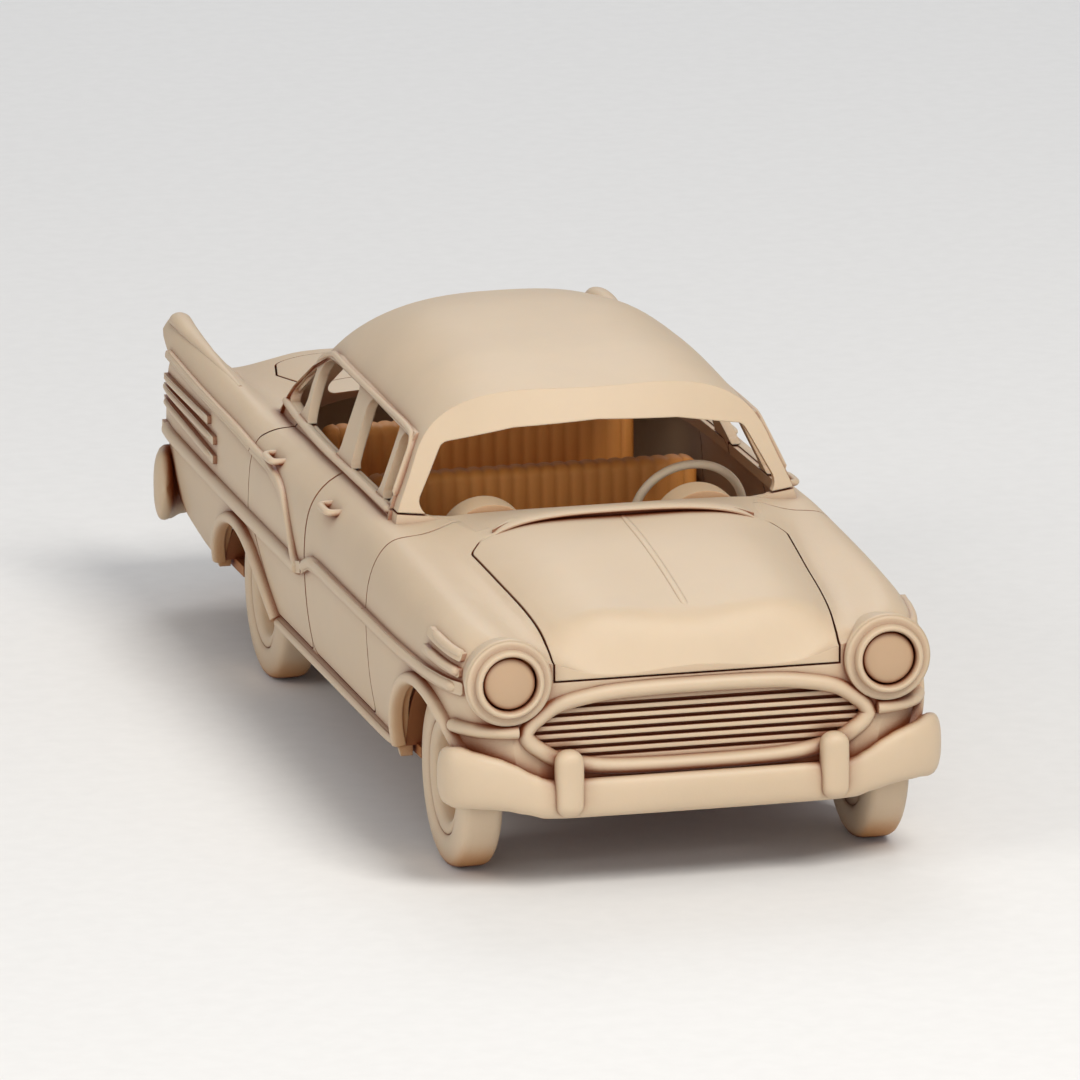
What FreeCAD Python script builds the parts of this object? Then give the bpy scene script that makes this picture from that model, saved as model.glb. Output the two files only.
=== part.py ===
"""A printed 1:24 display model of a four-door saloon of the late 1950s, with tail fins.

Millimetres at the model's own size. The car faces -Y, its left side is +X, and it stands on z = 0
with the origin on the ground under the middle of its overall length.
"""
import FreeCAD
import Part
import Sketcher
import math
import os

from FreeCAD import Placement, Rotation, Vector

SIZES = {
    # overall stance
    "overall_length": 193.0,
    "wheelbase": 112.5,
    "front_overhang": 22.1,
    "track": 59.8,
    # lower body
    "nose_setback": 4.2,
    "tail_setback": 3.2,
    "body_width": 72.2,
    "belt_height": 41.67,
    "body_wall": 1.4,
    "shut_gap": 0.3,
    # roof and pillars
    "roof_height": 63.0,
    "canopy_width": 61.6,
    "canopy_setback": 49.0,
    "canopy_length": 104.6,
    # wheels
    "tyre_radius": 13.1,
    "tyre_width": 6.4,
    "rim_radius": 8.4,
    "rim_width": 5.2,
    "rim_wall": 1.1,
    "hub_cap_radius": 4.6,
    "hub_cap_rise": 1.5,
    "axle_radius": 1.25,
    "axle_fit": 0.05,
    "well_clearance": 1.5,
    "well_wall": 1.0,
    # mouldings
    "strip_height": 1.9,
    "strip_stand": 0.65,
    "rib_height": 1.1,
    "arch_lip": 1.1,
    "rail_stand": 0.5,
    "scuttle_stand": 0.5,
    # lamps and grille
    "lamp_radius": 3.8,
    "lamp_ring": 1.25,
    "lamp_spread": 55.4,
    "lamp_height": 31.0,
    "nacelle_radius": 6.2,
    "grille_width": 52.6,
    "grille_height": 13.8,
    "grille_low": 16.2,
    "grille_ring": 2.1,
    "grille_ring_depth": 3.0,
    "grille_bar_height": 0.62,
    # bumpers
    "bumper_width": 74.0,
    "bumper_height": 5.6,
    "bumper_thick": 2.7,
    "bumper_low": 11.0,
    "bumper_kick": 3.2,
    "rear_bumper_width": 77.0,
    "rear_bumper_height": 7.4,
    "rear_bumper_low": 11.6,
    "overrider_spread": 38.8,
    "overrider_width": 3.9,
    "overrider_height": 9.4,
    # cabin
    "floor_height": 12.0,
    "floor_thick": 1.6,
    "seat_width": 50.0,
    "cushion_depth": 18.0,
    "cushion_height": 9.4,
    "seat_back_height": 25.5,
    "seat_back_thick": 5.0,
    "steering_wheel_radius": 8.3,
    "steering_rim": 0.65,
    "steering_offset": 17.5,
    "screw_bore_radius": 1.25,
    "screw_boss_radius": 3.0,
    "screw_boss_height": 6.0,
}

# How far the lower body's plan narrows at each place along its length, as a share of its full width.
PLAN_SHARES = [(0, 0.76), (0.004, 0.82), (0.012, 0.885), (0.025, 0.93), (0.05, 0.965), (0.1, 0.99), (0.2, 1),
               (0.8, 1), (0.95, 1), (1, 0.985)]

# Lengthwise lines of the lower body: share of its length, half-width share, share of the belt height.
HULL_LINE_SHARES = {
    "sill": [(0, 0.94, 0.39), (0.03, 0.94, 0.36), (0.1, 0.94, 0.30), (0.2, 0.94, 0.285), (0.7, 0.94, 0.285),
             (0.85, 0.94, 0.30), (1, 0.93, 0.36)],
    "low": [(0, 0.97, 0.47), (0.2, 0.978, 0.42), (0.7, 0.978, 0.42), (1, 0.97, 0.46)],
    "mid": [(0, 0.99, 0.60), (0.2, 1, 0.61), (0.7, 1, 0.61), (1, 0.99, 0.62)],
    "upper": [(0, 0.985, 0.70), (0.03, 0.99, 0.75), (0.2, 0.998, 0.78), (0.7, 0.995, 0.78), (0.85, 0.995, 0.80),
              (1, 0.995, 0.82)],
    "shoulder": [(0, 0.965, 0.77), (0.015, 0.965, 0.82), (0.05, 0.962, 0.85), (0.3, 0.966, 0.885),
                 (0.6, 0.966, 0.885), (0.72, 0.968, 0.91), (0.79, 0.975, 0.94), (0.85, 0.985, 0.962),
                 (0.93, 0.998, 0.985), (1, 1.005, 1.0)],
    "crest": [(0, 0.86, 0.80), (0.015, 0.86, 0.865), (0.05, 0.865, 0.90), (0.122, 0.87, 0.93),
              (0.25, 0.89, 0.957), (0.32, 0.90, 0.965), (0.5, 0.90, 0.955), (0.63, 0.90, 0.957),
              (0.75, 0.905, 0.99), (0.85, 0.918, 1.03), (0.93, 0.93, 1.062), (0.975, 0.935, 1.078),
              (1, 0.935, 1.07)],
    "valley": [(0, 0.64, 0.765), (0.015, 0.65, 0.83), (0.05, 0.66, 0.875), (0.122, 0.67, 0.915),
               (0.18, 0.70, 0.945), (0.25, 0.76, 0.97), (0.3, 0.82, 0.985), (0.45, 0.83, 0.99),
               (0.6, 0.825, 0.985), (0.68, 0.80, 0.968), (0.76, 0.79, 0.955), (0.85, 0.80, 0.945),
               (0.97, 0.825, 0.92), (1, 0.83, 0.90)],
    "bonnet": [(0, 0.55, 0.75), (0.012, 0.555, 0.83), (0.025, 0.56, 0.885), (0.05, 0.565, 0.915),
               (0.122, 0.58, 0.955), (0.18, 0.60, 0.98), (0.25, 0.63, 1.005), (0.3, 0.64, 1.015),
               (0.45, 0.62, 1.02), (0.65, 0.60, 1.0), (0.76, 0.58, 0.98), (0.86, 0.56, 0.955),
               (0.96, 0.55, 0.92), (1, 0.54, 0.88)],
    "centre": [(0, 0, 0.76), (0.012, 0, 0.865), (0.025, 0, 0.918), (0.05, 0, 0.945), (0.12, 0, 1.0),
               (0.18, 0, 1.033), (0.25, 0, 1.05), (0.45, 0, 1.055), (0.65, 0, 1.03), (0.76, 0, 1.0),
               (0.86, 0, 0.97), (0.96, 0, 0.93), (1, 0, 0.885)],
}

# Lengthwise lines of the roof and pillars: share of its length, half-width share, share of the roof height.
CANOPY_LINE_SHARES = {
    "foot": [(0, 0.985, 0.59), (0.5, 0.985, 0.59), (0.75, 0.96, 0.59), (1, 0.90, 0.59)],
    "belt": [(0, 0.973, 0.661), (0.5, 0.973, 0.661), (0.75, 0.945, 0.661), (1, 0.86, 0.655)],
    "glass": [(0, 0.895, 0.754), (0.5, 0.897, 0.754), (0.75, 0.86, 0.745), (1, 0.76, 0.72)],
    "rail": [(0, 0.80, 0.835), (0.15, 0.81, 0.843), (0.4, 0.812, 0.845), (0.6, 0.80, 0.84),
             (0.75, 0.765, 0.815), (1, 0.64, 0.75)],
    "edge": [(0, 0.73, 0.85), (0.15, 0.745, 0.878), (0.4, 0.755, 0.895), (0.6, 0.74, 0.885),
             (0.75, 0.695, 0.855), (1, 0.56, 0.765)],
    "crown": [(0, 0.50, 0.858), (0.15, 0.53, 0.928), (0.3, 0.545, 0.961), (0.5, 0.545, 0.97),
              (0.65, 0.52, 0.945), (0.8, 0.475, 0.885), (1, 0.38, 0.78)],
    "centre": [(0, 0, 0.862), (0.15, 0, 0.945), (0.3, 0, 0.985), (0.5, 0, 1.0), (0.65, 0, 0.98),
               (0.8, 0, 0.915), (1, 0, 0.79)],
}

# Side-view outlines: share of the overall length from the front, share of the roof height.
VENT_WINDOW_SHARES = [(0.337, 0.675), (0.350, 0.820), (0.378, 0.826), (0.364, 0.675)]
FRONT_WINDOW_SHARES = [(0.375, 0.675), (0.389, 0.828), (0.489, 0.828), (0.465, 0.675)]
REAR_WINDOW_SHARES = [(0.503, 0.675), (0.522, 0.828), (0.595, 0.825), (0.640, 0.812), (0.662, 0.785),
                      (0.619, 0.675)]
QUARTER_WINDOW_SHARES = [(0.631, 0.675), (0.671, 0.776), (0.690, 0.735), (0.706, 0.675)]
RAIL_SHARES = [(0.322, 0.60), (0.341, 0.833), (0.50, 0.842), (0.60, 0.838), (0.645, 0.822), (0.678, 0.778),
               (0.700, 0.715), (0.718, 0.60)]
SILL_SHARE = 0.675
FRONT_DOOR_SHARES = [(0.278, 0.225), (0.278, 0.72), (0.480, 0.72), (0.480, 0.225)]
REAR_DOOR_SHARES = [(0.480, 0.225), (0.480, 0.72), (0.640, 0.72), (0.6717, 0.61), (0.6717, 0.435),
                    (0.648, 0.385), (0.627, 0.318), (0.604, 0.225)]
TAIL_SHARES = [(1.01, 0.75), (1.01, 0.70), (0.972, 0.657), (0.948, 0.640), (0.934, 0.622), (0.945, 0.590),
               (0.962, 0.545), (0.972, 0.512), (0.964, 0.496), (0.977, 0.478), (0.998, 0.458), (0.998, 0.43),
               (0.968, 0.40), (0.965, 0.27), (0.955, 0.12)]

# Front-view outline of the windscreen opening: share of the canopy's half width, share of the roof height.
WINDSCREEN_SHARES = [(0.905, 0.668), (0.735, 0.828), (0.40, 0.858), (0, 0.868)]
BACKLIGHT_SHARES = [(0.74, 0.668), (0.60, 0.820), (0.30, 0.862), (0, 0.870)]

# Plan outlines, front to rear on one side: share of the half width, share of the overall length from the front.
BONNET_SHARES = [(0.57, -0.02), (0.585, 0.03), (0.62, 0.13), (0.655, 0.215), (0.60, 0.228), (0.30, 0.242),
                 (0, 0.2465)]
BOOT_SHARES = [(0.52, 0.785), (0.60, 0.82), (0.63, 0.87), (0.58, 0.915)]

# Side mouldings: points as shares of the overall length and of the belt height.
MAIN_STRIP_SHARES = [(0.040, 0.705), (0.43, 0.705), (0.455, 0.695), (0.478, 0.655), (0.500, 0.634), (0.60, 0.634),
                     (0.995, 0.645)]
FLASH_STRIP_SHARES = [(0.502, 0.634), (0.516, 0.70), (0.530, 0.755), (0.547, 0.81), (0.568, 0.848), (0.61, 0.876),
                      (0.665, 0.885), (0.756, 0.908), (0.833, 0.930), (0.905, 0.955), (0.94, 0.965)]
FIN_RIB_SHARES = [((0.782, 0.724), (0.99, 0.764)), ((0.782, 0.795), (0.99, 0.822)), ((0.80, 0.855), (0.99, 0.872))]
WING_RIB_SHARES = [((0.044, 0.757), (0.106, 0.782)), ((0.044, 0.812), (0.104, 0.842))]
SILL_STRIP_SHARES = [(0.215, 0.318), (0.60, 0.318)]
# Plan outline of the scuttle lip: half-width share of the body, share of the overall length.
SCUTTLE_BACK_SHARES = ((0.54, 0.2335), (0, 0.272))
SCUTTLE_FRONT_SHARES = ((0.54, 0.2325), (0, 0.2545))

HULL_STATIONS = 33
CANOPY_STATIONS = 19
SPAN_POINTS = 4

doc = FreeCAD.newDocument("Saloon")
sheet = doc.addObject("Spreadsheet::Sheet", "Sizes")
for row, (alias, value) in enumerate(SIZES.items(), start=1):
    sheet.set(f"A{row}", alias)
    sheet.set(f"B{row}", str(value))
    sheet.setAlias(f"B{row}", alias)
doc.recompute()


def size(alias):
    """A driving dimension, read back from the sheet."""
    return float(sheet.get(alias))


length = size("overall_length")
half_width = size("body_width") / 2
belt = size("belt_height")
roof = size("roof_height")
wall = size("body_wall")
gap = size("shut_gap")
front = -length / 2
front_axle_y = front + size("front_overhang")
rear_axle_y = front_axle_y + size("wheelbase")
hull_start = front + size("nose_setback")
hull_length = length - size("nose_setback") - size("tail_setback")
canopy_start = front + size("canopy_setback")
canopy_half = size("canopy_width") / 2
axle_height = size("tyre_radius")
tyre_outer_x = (size("track") + size("tyre_width")) / 2


def smooth(pairs, share):
    """Monotone cubic through (share, value) pairs, so that a line never overshoots its points."""
    xs = [p[0] for p in pairs]
    ys = [p[1] for p in pairs]
    if share <= xs[0]:
        return ys[0]
    if share >= xs[-1]:
        return ys[-1]
    slopes = [(ys[k + 1] - ys[k]) / (xs[k + 1] - xs[k]) for k in range(len(xs) - 1)]
    tangents = [slopes[0]]
    for before, after in zip(slopes, slopes[1:]):
        tangents.append(0.0 if before * after <= 0 else 2 * before * after / (before + after))
    tangents.append(slopes[-1])
    k = max(i for i in range(len(xs) - 1) if xs[i] <= share)
    width = xs[k + 1] - xs[k]
    a = (share - xs[k]) / width
    return (ys[k] * (1 + 2 * a) * (1 - a) ** 2 + tangents[k] * width * a * (1 - a) ** 2
            + ys[k + 1] * a ** 2 * (3 - 2 * a) + tangents[k + 1] * width * a ** 2 * (a - 1))


def interpolated(points, places):
    """A smooth curve through the points at the given parameters."""
    curve = Part.BSplineCurve()
    curve.interpolate(Points=points, Parameters=places)
    return curve


def moved_in(knots, inset):
    """The knots of a section moved inward by inset, square to the line through them."""
    moved = []
    for k, knot in enumerate(knots):
        along = Vector(0, 0, 0)
        if k > 0:
            along += (knot - knots[k - 1]).normalize()
        if k < len(knots) - 1:
            along += (knots[k + 1] - knot).normalize()
        along.normalize()
        moved.append(knot + Vector(-along.z, 0, along.x) * inset)
    return moved


def section(line_shares, share, wide, high, inset):
    """One cross section, from the left sill over the top to the right sill, as (x, z) points.

    The same number of points lies between each pair of lines, so that a line keeps its place in every section.
    """
    knots = []
    for points in line_shares.values():
        knots.append(Vector(smooth([(p[0], p[1]) for p in points], share) * wide, 0,
                            smooth([(p[0], p[2]) for p in points], share) * high))
    knots = moved_in(knots + [Vector(-p.x, 0, p.z) for p in reversed(knots[:-1])], inset)
    places = [0.0]
    for a, b in zip(knots, knots[1:]):
        places.append(places[-1] + a.distanceToPoint(b))
    curve = interpolated(knots, places)
    stops = [a + (b - a) * k / SPAN_POINTS for a, b in zip(places, places[1:]) for k in range(SPAN_POINTS)]
    return [(p.x, p.z) for p in (curve.value(stop) for stop in stops + places[-1:])]


def hull_section(share, inset):
    """A section of the lower body, narrowed by the plan at that place."""
    return section(HULL_LINE_SHARES, share, half_width * smooth(PLAN_SHARES, share), belt, inset)


def canopy_section(share, inset):
    """A section of the roof and pillars."""
    return section(CANOPY_LINE_SHARES, share, canopy_half, roof, inset)


def end_weighted(count):
    """Shares from 0 to 1 that lie closer together at both ends, where the body curves most."""
    return [(1 - math.cos(math.pi * k / (count - 1))) / 2 for k in range(count)]


def skin_through(grid, along):
    """A smooth surface through rows of points: each row is interpolated, then the poles of all the rows."""
    across = [0.0]
    for k in range(1, len(grid[0])):
        steps = [row[k].distanceToPoint(row[k - 1]) for row in grid]
        across.append(across[-1] + sum(steps) / len(steps))
    rows = [interpolated(row, across) for row in grid]
    lines = [interpolated([row.getPole(k + 1) for row in rows], along) for k in range(rows[0].NbPoles)]
    poles = [[line.getPole(k + 1) for line in lines] for k in range(lines[0].NbPoles)]
    surface = Part.BSplineSurface()
    surface.buildFromPolesMultsKnots(poles, lines[0].getMultiplicities(), rows[0].getMultiplicities(),
                                     lines[0].getKnots(), rows[0].getKnots(), False, False,
                                     lines[0].Degree, rows[0].Degree)
    return surface


def skinned_solid(make_section, shares, start, run, inset):
    """A closed solid under one smooth skin, flat at both ends and ruled across the bottom."""
    grid = []
    for share in shares:
        y = start + run * share
        grid.append([Vector(x, y, z) for x, z in make_section(share, inset)])
    skin = skin_through(grid, [run * share for share in shares]).toShape()
    first = min(skin.Edges, key=lambda e: e.BoundBox.YMax)
    last = max(skin.Edges, key=lambda e: e.BoundBox.YMin)
    sides = [e for e in skin.Edges if not e.isSame(first) and not e.isSame(last)]
    faces = [skin, Part.makeRuledSurface(sides[0], sides[1])]
    for end in (first, last):
        ends = [v.Point for v in end.Vertexes]
        faces.append(Part.Face(Part.Wire([end, Part.LineSegment(ends[1], ends[0]).toShape()])))
    sewn = Part.makeCompound(faces)
    sewn.sewShape()
    solid = Part.makeSolid(sewn.Shells[0])
    if solid.Volume < 0:
        solid.reverse()
    return solid


def hull_solid(inset):
    return skinned_solid(hull_section, end_weighted(HULL_STATIONS), hull_start, hull_length, inset)


def canopy_solid(inset):
    return skinned_solid(canopy_section, [k / (CANOPY_STATIONS - 1) for k in range(CANOPY_STATIONS)],
                         canopy_start, size("canopy_length"), inset)


def rounded_wire(points, radius):
    """A closed flat wire through the points with each corner rounded, as far as its sides allow."""
    edges = []
    arcs = []
    count = len(points)
    for k in range(count):
        corner = points[k]
        to_last = points[k - 1] - corner
        to_next = points[(k + 1) % count] - corner
        turn = to_last.getAngle(to_next)
        reach = min(radius / math.tan(turn / 2), to_last.Length * 0.45, to_next.Length * 0.45)
        bend = reach * math.tan(turn / 2)
        middle = (to_last.normalize() + to_next.normalize()).normalize()
        centre = corner + middle * (bend / math.sin(turn / 2))
        arcs.append((corner + to_last * reach, centre - middle * bend, corner + to_next * reach))
    for k, (start, middle, end) in enumerate(arcs):
        edges.append(Part.Arc(start, middle, end).toShape())
        edges.append(Part.LineSegment(end, arcs[(k + 1) % count][0]).toShape())
    return Part.Wire(edges)


def side_prism(points, radius, low_x, high_x, spread=0.0):
    """A prism along X from a closed side-view outline of (y, z) points, grown outward by spread."""
    wire = rounded_wire([Vector(low_x, y, z) for y, z in points], radius)
    if spread:
        wire = wire.makeOffset2D(spread)
    return Part.Face(wire).extrude(Vector(high_x - low_x, 0, 0))


def plan_prism(points, radius, low_z, high_z, spread=0.0):
    """A prism along Z from a closed plan outline of (x, y) points, grown outward by spread."""
    wire = rounded_wire([Vector(x, y, low_z) for x, y in points], radius)
    if spread:
        wire = wire.makeOffset2D(spread)
    return Part.Face(wire).extrude(Vector(0, 0, high_z - low_z))


def front_prism(points, radius, low_y, high_y, spread=0.0):
    """A prism along Y from a closed front-view outline of (x, z) points, grown outward by spread."""
    wire = rounded_wire([Vector(x, low_y, z) for x, z in points], radius)
    if spread:
        wire = wire.makeOffset2D(spread)
    return Part.Face(wire).extrude(Vector(0, high_y - low_y, 0))


def at_length(share):
    return front + length * share


def side_points(shares, high):
    return [(at_length(y), z * high) for y, z in shares]


def both_sides(points):
    """An outline given on the left, closed by its mirror image."""
    mirrored = [(-x, z) for x, z in reversed(points) if x > 0]
    return points + mirrored


def greenhouse_block(inset):
    """The space between the raked windscreen and the raked backlight, both bowed in plan."""
    side_x = canopy_half * 1.1
    wires = []
    for high, front_mid, front_side, rear_mid, rear_side in (
            (0.56, -0.005, 0.105, 1.0, 0.90), (0.90, 0.115, 0.195, 0.715, 0.665)):
        run = size("canopy_length")
        z = roof * high
        ys = [canopy_start + run * front_mid + inset, canopy_start + run * front_side + inset,
              canopy_start + run * rear_side - inset, canopy_start + run * rear_mid - inset]
        nose = Part.Arc(Vector(side_x, ys[1], z), Vector(0, ys[0], z), Vector(-side_x, ys[1], z)).toShape()
        tail = Part.Arc(Vector(-side_x, ys[2], z), Vector(0, ys[3], z), Vector(side_x, ys[2], z)).toShape()
        right = Part.LineSegment(Vector(-side_x, ys[1], z), Vector(-side_x, ys[2], z)).toShape()
        left = Part.LineSegment(Vector(side_x, ys[2], z), Vector(side_x, ys[1], z)).toShape()
        wires.append([nose, right, tail, left])
    return stretch_up(wires, roof * 0.56, roof * 0.90, roof * 1.1)


def stretch_up(wires, low_z, high_z, top_z):
    """A loft through both wires, carried on straight past the roof."""
    factor = (top_z - low_z) / (high_z - low_z)
    tops = []
    for low, high in zip(wires[0], wires[1]):
        a = low.Vertexes
        b = high.Vertexes
        mid_low = low.valueAt((low.FirstParameter + low.LastParameter) / 2)
        mid_high = high.valueAt((high.FirstParameter + high.LastParameter) / 2)
        points = [p + (q - p) * factor for p, q in ((a[0].Point, b[0].Point), (mid_low, mid_high),
                                                  (a[-1].Point, b[-1].Point))]
        if low.Curve.TypeId == "Part::GeomLine":
            tops.append(Part.LineSegment(points[0], points[2]).toShape())
        else:
            tops.append(Part.Arc(points[0], points[1], points[2]).toShape())
    return Part.makeLoft([Part.Wire(wires[0]), Part.Wire(tops)], True, True)


def outward(shape):
    """The shape with its surface facing out, which a cut between skins can turn round."""
    if shape.Volume < 0:
        shape.reverse()
    return shape


def piece(label, shape):
    """A sub-part whose shape comes from the skins."""
    made = doc.addObject("Part::Feature", label)
    made.Shape = outward(shape)
    made.Label = label
    return made


def bound(kind, name, sizes, turn=None):
    """A parametric object whose sizes and place follow the sheet."""
    made = doc.addObject(kind, name)
    if turn:
        made.Placement = Placement(Vector(0, 0, 0), turn)
    for path, expression in sizes.items():
        made.setExpression(path, expression)
    return made


nodes = []


def keep(made, label):
    made.Label = label
    nodes.append(made)
    return made


# The skins of the lower body and the canopy, outside and inside.
reach = half_width * 1.2


def tail_block():
    """The space behind the rear end, bounded by its side-view outline."""
    points = side_points(TAIL_SHARES, roof)
    beyond = -front * 1.1
    points += [(beyond, points[-1][1]), (beyond, points[0][1])]
    return side_prism(points, belt * 0.015, -reach, reach)


outer_hull = hull_solid(0).cut(tail_block())
inner_hull = hull_solid(wall)
outer_canopy = canopy_solid(0).common(greenhouse_block(0))
inner_canopy = canopy_solid(wall).common(greenhouse_block(wall))
proud_canopy = canopy_solid(-size("rail_stand")).common(greenhouse_block(0))

# Raised mouldings on the sides, all cut from one skin that stands proud of the body.
def strip_prism(points, radius, high):
    """A band of constant height that follows a line of (y, z) points in side view."""
    upper = [(y, z + high / 2) for y, z in points]
    lower = [(y, z - high / 2) for y, z in reversed(points)]
    return side_prism(upper + lower, radius, -reach, reach)


strip_high = size("strip_height")
rib_high = size("rib_height")
bands = [
    strip_prism(side_points(MAIN_STRIP_SHARES, belt), strip_high / 4, strip_high),
    strip_prism(side_points(FLASH_STRIP_SHARES, belt), strip_high / 4, rib_high),
    strip_prism(side_points(SILL_STRIP_SHARES, belt), strip_high / 4, rib_high),
]
for ends in FIN_RIB_SHARES + WING_RIB_SHARES:
    bands.append(strip_prism(side_points(ends, belt), rib_high / 4, rib_high * 1.2))

FRONT_ARCH_SHARES = (0.004, 0.234, 0.403)
REAR_ARCH_SHARES = (0.0086, 0.012, 0.553)


def arch_cylinder(axle_y, arch_shares, grow):
    """The round cutter of a wheel arch: its centre back from the axle, its height and its radius."""
    back, high, radius = arch_shares
    centre = Vector(-reach, axle_y + back * length, high * belt)
    return Part.makeCylinder(radius * belt + grow, 2 * reach, centre, Vector(1, 0, 0))


arches = [arch_cylinder(front_axle_y, FRONT_ARCH_SHARES, 0), arch_cylinder(rear_axle_y, REAR_ARCH_SHARES, 0)]
lip = size("arch_lip")
lips = [arch_cylinder(front_axle_y, FRONT_ARCH_SHARES, lip), arch_cylinder(rear_axle_y, REAR_ARCH_SHARES, lip)]
proud_hull = hull_solid(-size("strip_stand")).cut(tail_block())
mid_block = Part.makeBox(2 * half_width * 0.8, length * 1.2, belt * 1.4, Vector(-half_width * 0.8, front * 1.1, 0))
mouldings = bands[0].multiFuse(bands[1:] + lips).common(proud_hull).cut(mid_block)

# The drip rail over the side windows and the lip of the scuttle behind the bonnet.
side_roof = Part.makeBox(2 * reach, length, roof, Vector(-reach, front, 0))
mid_roof = Part.makeBox(canopy_half, length, roof * 1.2, Vector(-canopy_half / 2, front, 0))
rail = strip_prism(side_points(RAIL_SHARES, roof), rib_high / 5, rib_high * 0.8)
rail = rail.common(proud_canopy).cut(mid_roof)


def crescent(back_shares, front_shares, low_z, high_z):
    """A prism along Z between two shallow arcs that meet near the sides."""
    arcs = []
    for (side_x, side_y), (mid_x, mid_y) in (back_shares, front_shares):
        arcs.append(Part.Arc(Vector(side_x * half_width, at_length(side_y), low_z),
                             Vector(mid_x, at_length(mid_y), low_z),
                             Vector(-side_x * half_width, at_length(side_y), low_z)).toShape())
    ends = []
    for k in (0, -1):
        ends.append(Part.LineSegment(arcs[0].Vertexes[k].Point, arcs[1].Vertexes[k].Point).toShape())
    return Part.Face(Part.Wire([arcs[0], ends[1], arcs[1], ends[0]])).extrude(Vector(0, 0, high_z - low_z))


scuttle_skin = hull_solid(-size("scuttle_stand"))
scuttle = crescent(SCUTTLE_BACK_SHARES, SCUTTLE_FRONT_SHARES, belt * 0.8, roof).common(scuttle_skin)

# Headlamp nacelles at the noses of the front wings.
lamp_x = size("lamp_spread") / 2
lamp_z = size("lamp_height")
lamp_y = at_length(0.022)
nacelles = []
for side in (-1, 1):
    nacelles.append(Part.makeCone(size("nacelle_radius"), size("nacelle_radius") * 0.78, length * 0.05,
                                  Vector(side * lamp_x, lamp_y - length * 0.006, lamp_z), Vector(0, 1, 0)))



outer = outward(outer_hull.fuse([outer_canopy, mouldings, rail, scuttle] + nacelles))

# The hollow inside, and the open bottom between the sills.
bottom = []
for share in end_weighted(HULL_STATIONS):
    x, z = hull_section(share, wall)[0]
    bottom.append((x, hull_start + hull_length * share))
rear_wall_y = min(y for y, z in side_points(TAIL_SHARES[:6], roof)) - wall
bottom = [(x + gap, y) for x, y in bottom if hull_start + wall < y < rear_wall_y]
left_edge = [Vector(x, y, 0) for x, y in bottom]
right_edge = [Vector(-x, y, 0) for x, y in reversed(bottom)]
opening_wire = Part.makePolygon(left_edge + right_edge + left_edge[:1])
opening = Part.Face(opening_wire).extrude(Vector(0, 0, size("floor_height") + 3 * size("floor_thick")))
inside_block = Part.makeBox(2 * reach, rear_wall_y - hull_start - wall, roof * 1.2,
                            Vector(-reach, hull_start + wall, 0))
hollow = inner_hull.common(inside_block).fuse([inner_canopy, opening])

# Window openings and wheel arches.
windows = []
for outline in (VENT_WINDOW_SHARES, FRONT_WINDOW_SHARES, REAR_WINDOW_SHARES, QUARTER_WINDOW_SHARES):
    windows.append(side_prism(side_points(outline, roof), roof * 0.025, -reach, reach))
windscreen = front_prism(both_sides([(x * canopy_half, z * roof) for x, z in WINDSCREEN_SHARES]), roof * 0.03,
                         canopy_start - wall, canopy_start + size("canopy_length") * 0.22)
windows.append(windscreen)
windows.append(front_prism(both_sides([(x * canopy_half, z * roof) for x, z in BACKLIGHT_SHARES]), roof * 0.03,
                           canopy_start + size("canopy_length") * 0.62,
                           canopy_start + size("canopy_length") * 1.05))

# Recesses for the lamps and for the grille.
lamp_bore = size("lamp_radius") + size("lamp_ring") * 1.2
nose_deep = size("grille_ring_depth")
grille_half = size("grille_width") / 2
grille_mid = size("grille_low") + size("grille_height") / 2
GRILLE_SHARES = [(1.0, 0.0), (0.93, 0.19), (0.80, 0.36), (0.55, 0.465), (0.28, 0.495), (0, 0.5)]


def grille_block(inset, low_y, high_y):
    """The pointed oval of the grille, in front view, carried back along Y."""
    half = grille_half - inset
    high = size("grille_height") - 2 * inset
    top = [(x * half, z * high) for x, z in GRILLE_SHARES]
    points = top + [(-x, z) for x, z in reversed(top[:-1])]
    points += [(x, -z) for x, z in reversed(points[1:-1])]
    return front_prism([(x, grille_mid + z) for x, z in points], high * 0.2, low_y, high_y)


nose_y = hull_start
ring_depth = size("grille_ring_depth")
ring_front = nose_y - ring_depth * 0.3
cutters = [grille_block(size("grille_ring") * 0.5, front, nose_y + 4 * nose_deep),
           grille_block(0, front, ring_front + ring_depth)]
for side in (-1, 1):
    cutters.append(Part.makeCylinder(lamp_bore, length * 0.03,
                                     Vector(side * lamp_x, lamp_y - length * 0.012, lamp_z), Vector(0, 1, 0)))
shell = outward(outer.cut(windows + arches + cutters).cut(outward(hollow)))

# Doors, bonnet and boot lid, each cut out of the shell with a shut line round it.
door_radius = belt * 0.05
for label, outline, low_x, high_x in (
        ("door_front_left", FRONT_DOOR_SHARES, 0, reach), ("door_front_right", FRONT_DOOR_SHARES, -reach, 0),
        ("door_rear_left", REAR_DOOR_SHARES, 0, reach), ("door_rear_right", REAR_DOOR_SHARES, -reach, 0)):
    points = [(y, min(z, roof * SILL_SHARE)) for y, z in side_points(outline, roof)]
    whole = side_prism(points, door_radius, low_x, high_x)
    inner = side_prism(points, door_radius, low_x, high_x, -gap)
    keep(piece(label, shell.common(inner)), label)
    shell = outward(shell.cut(whole))

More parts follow.
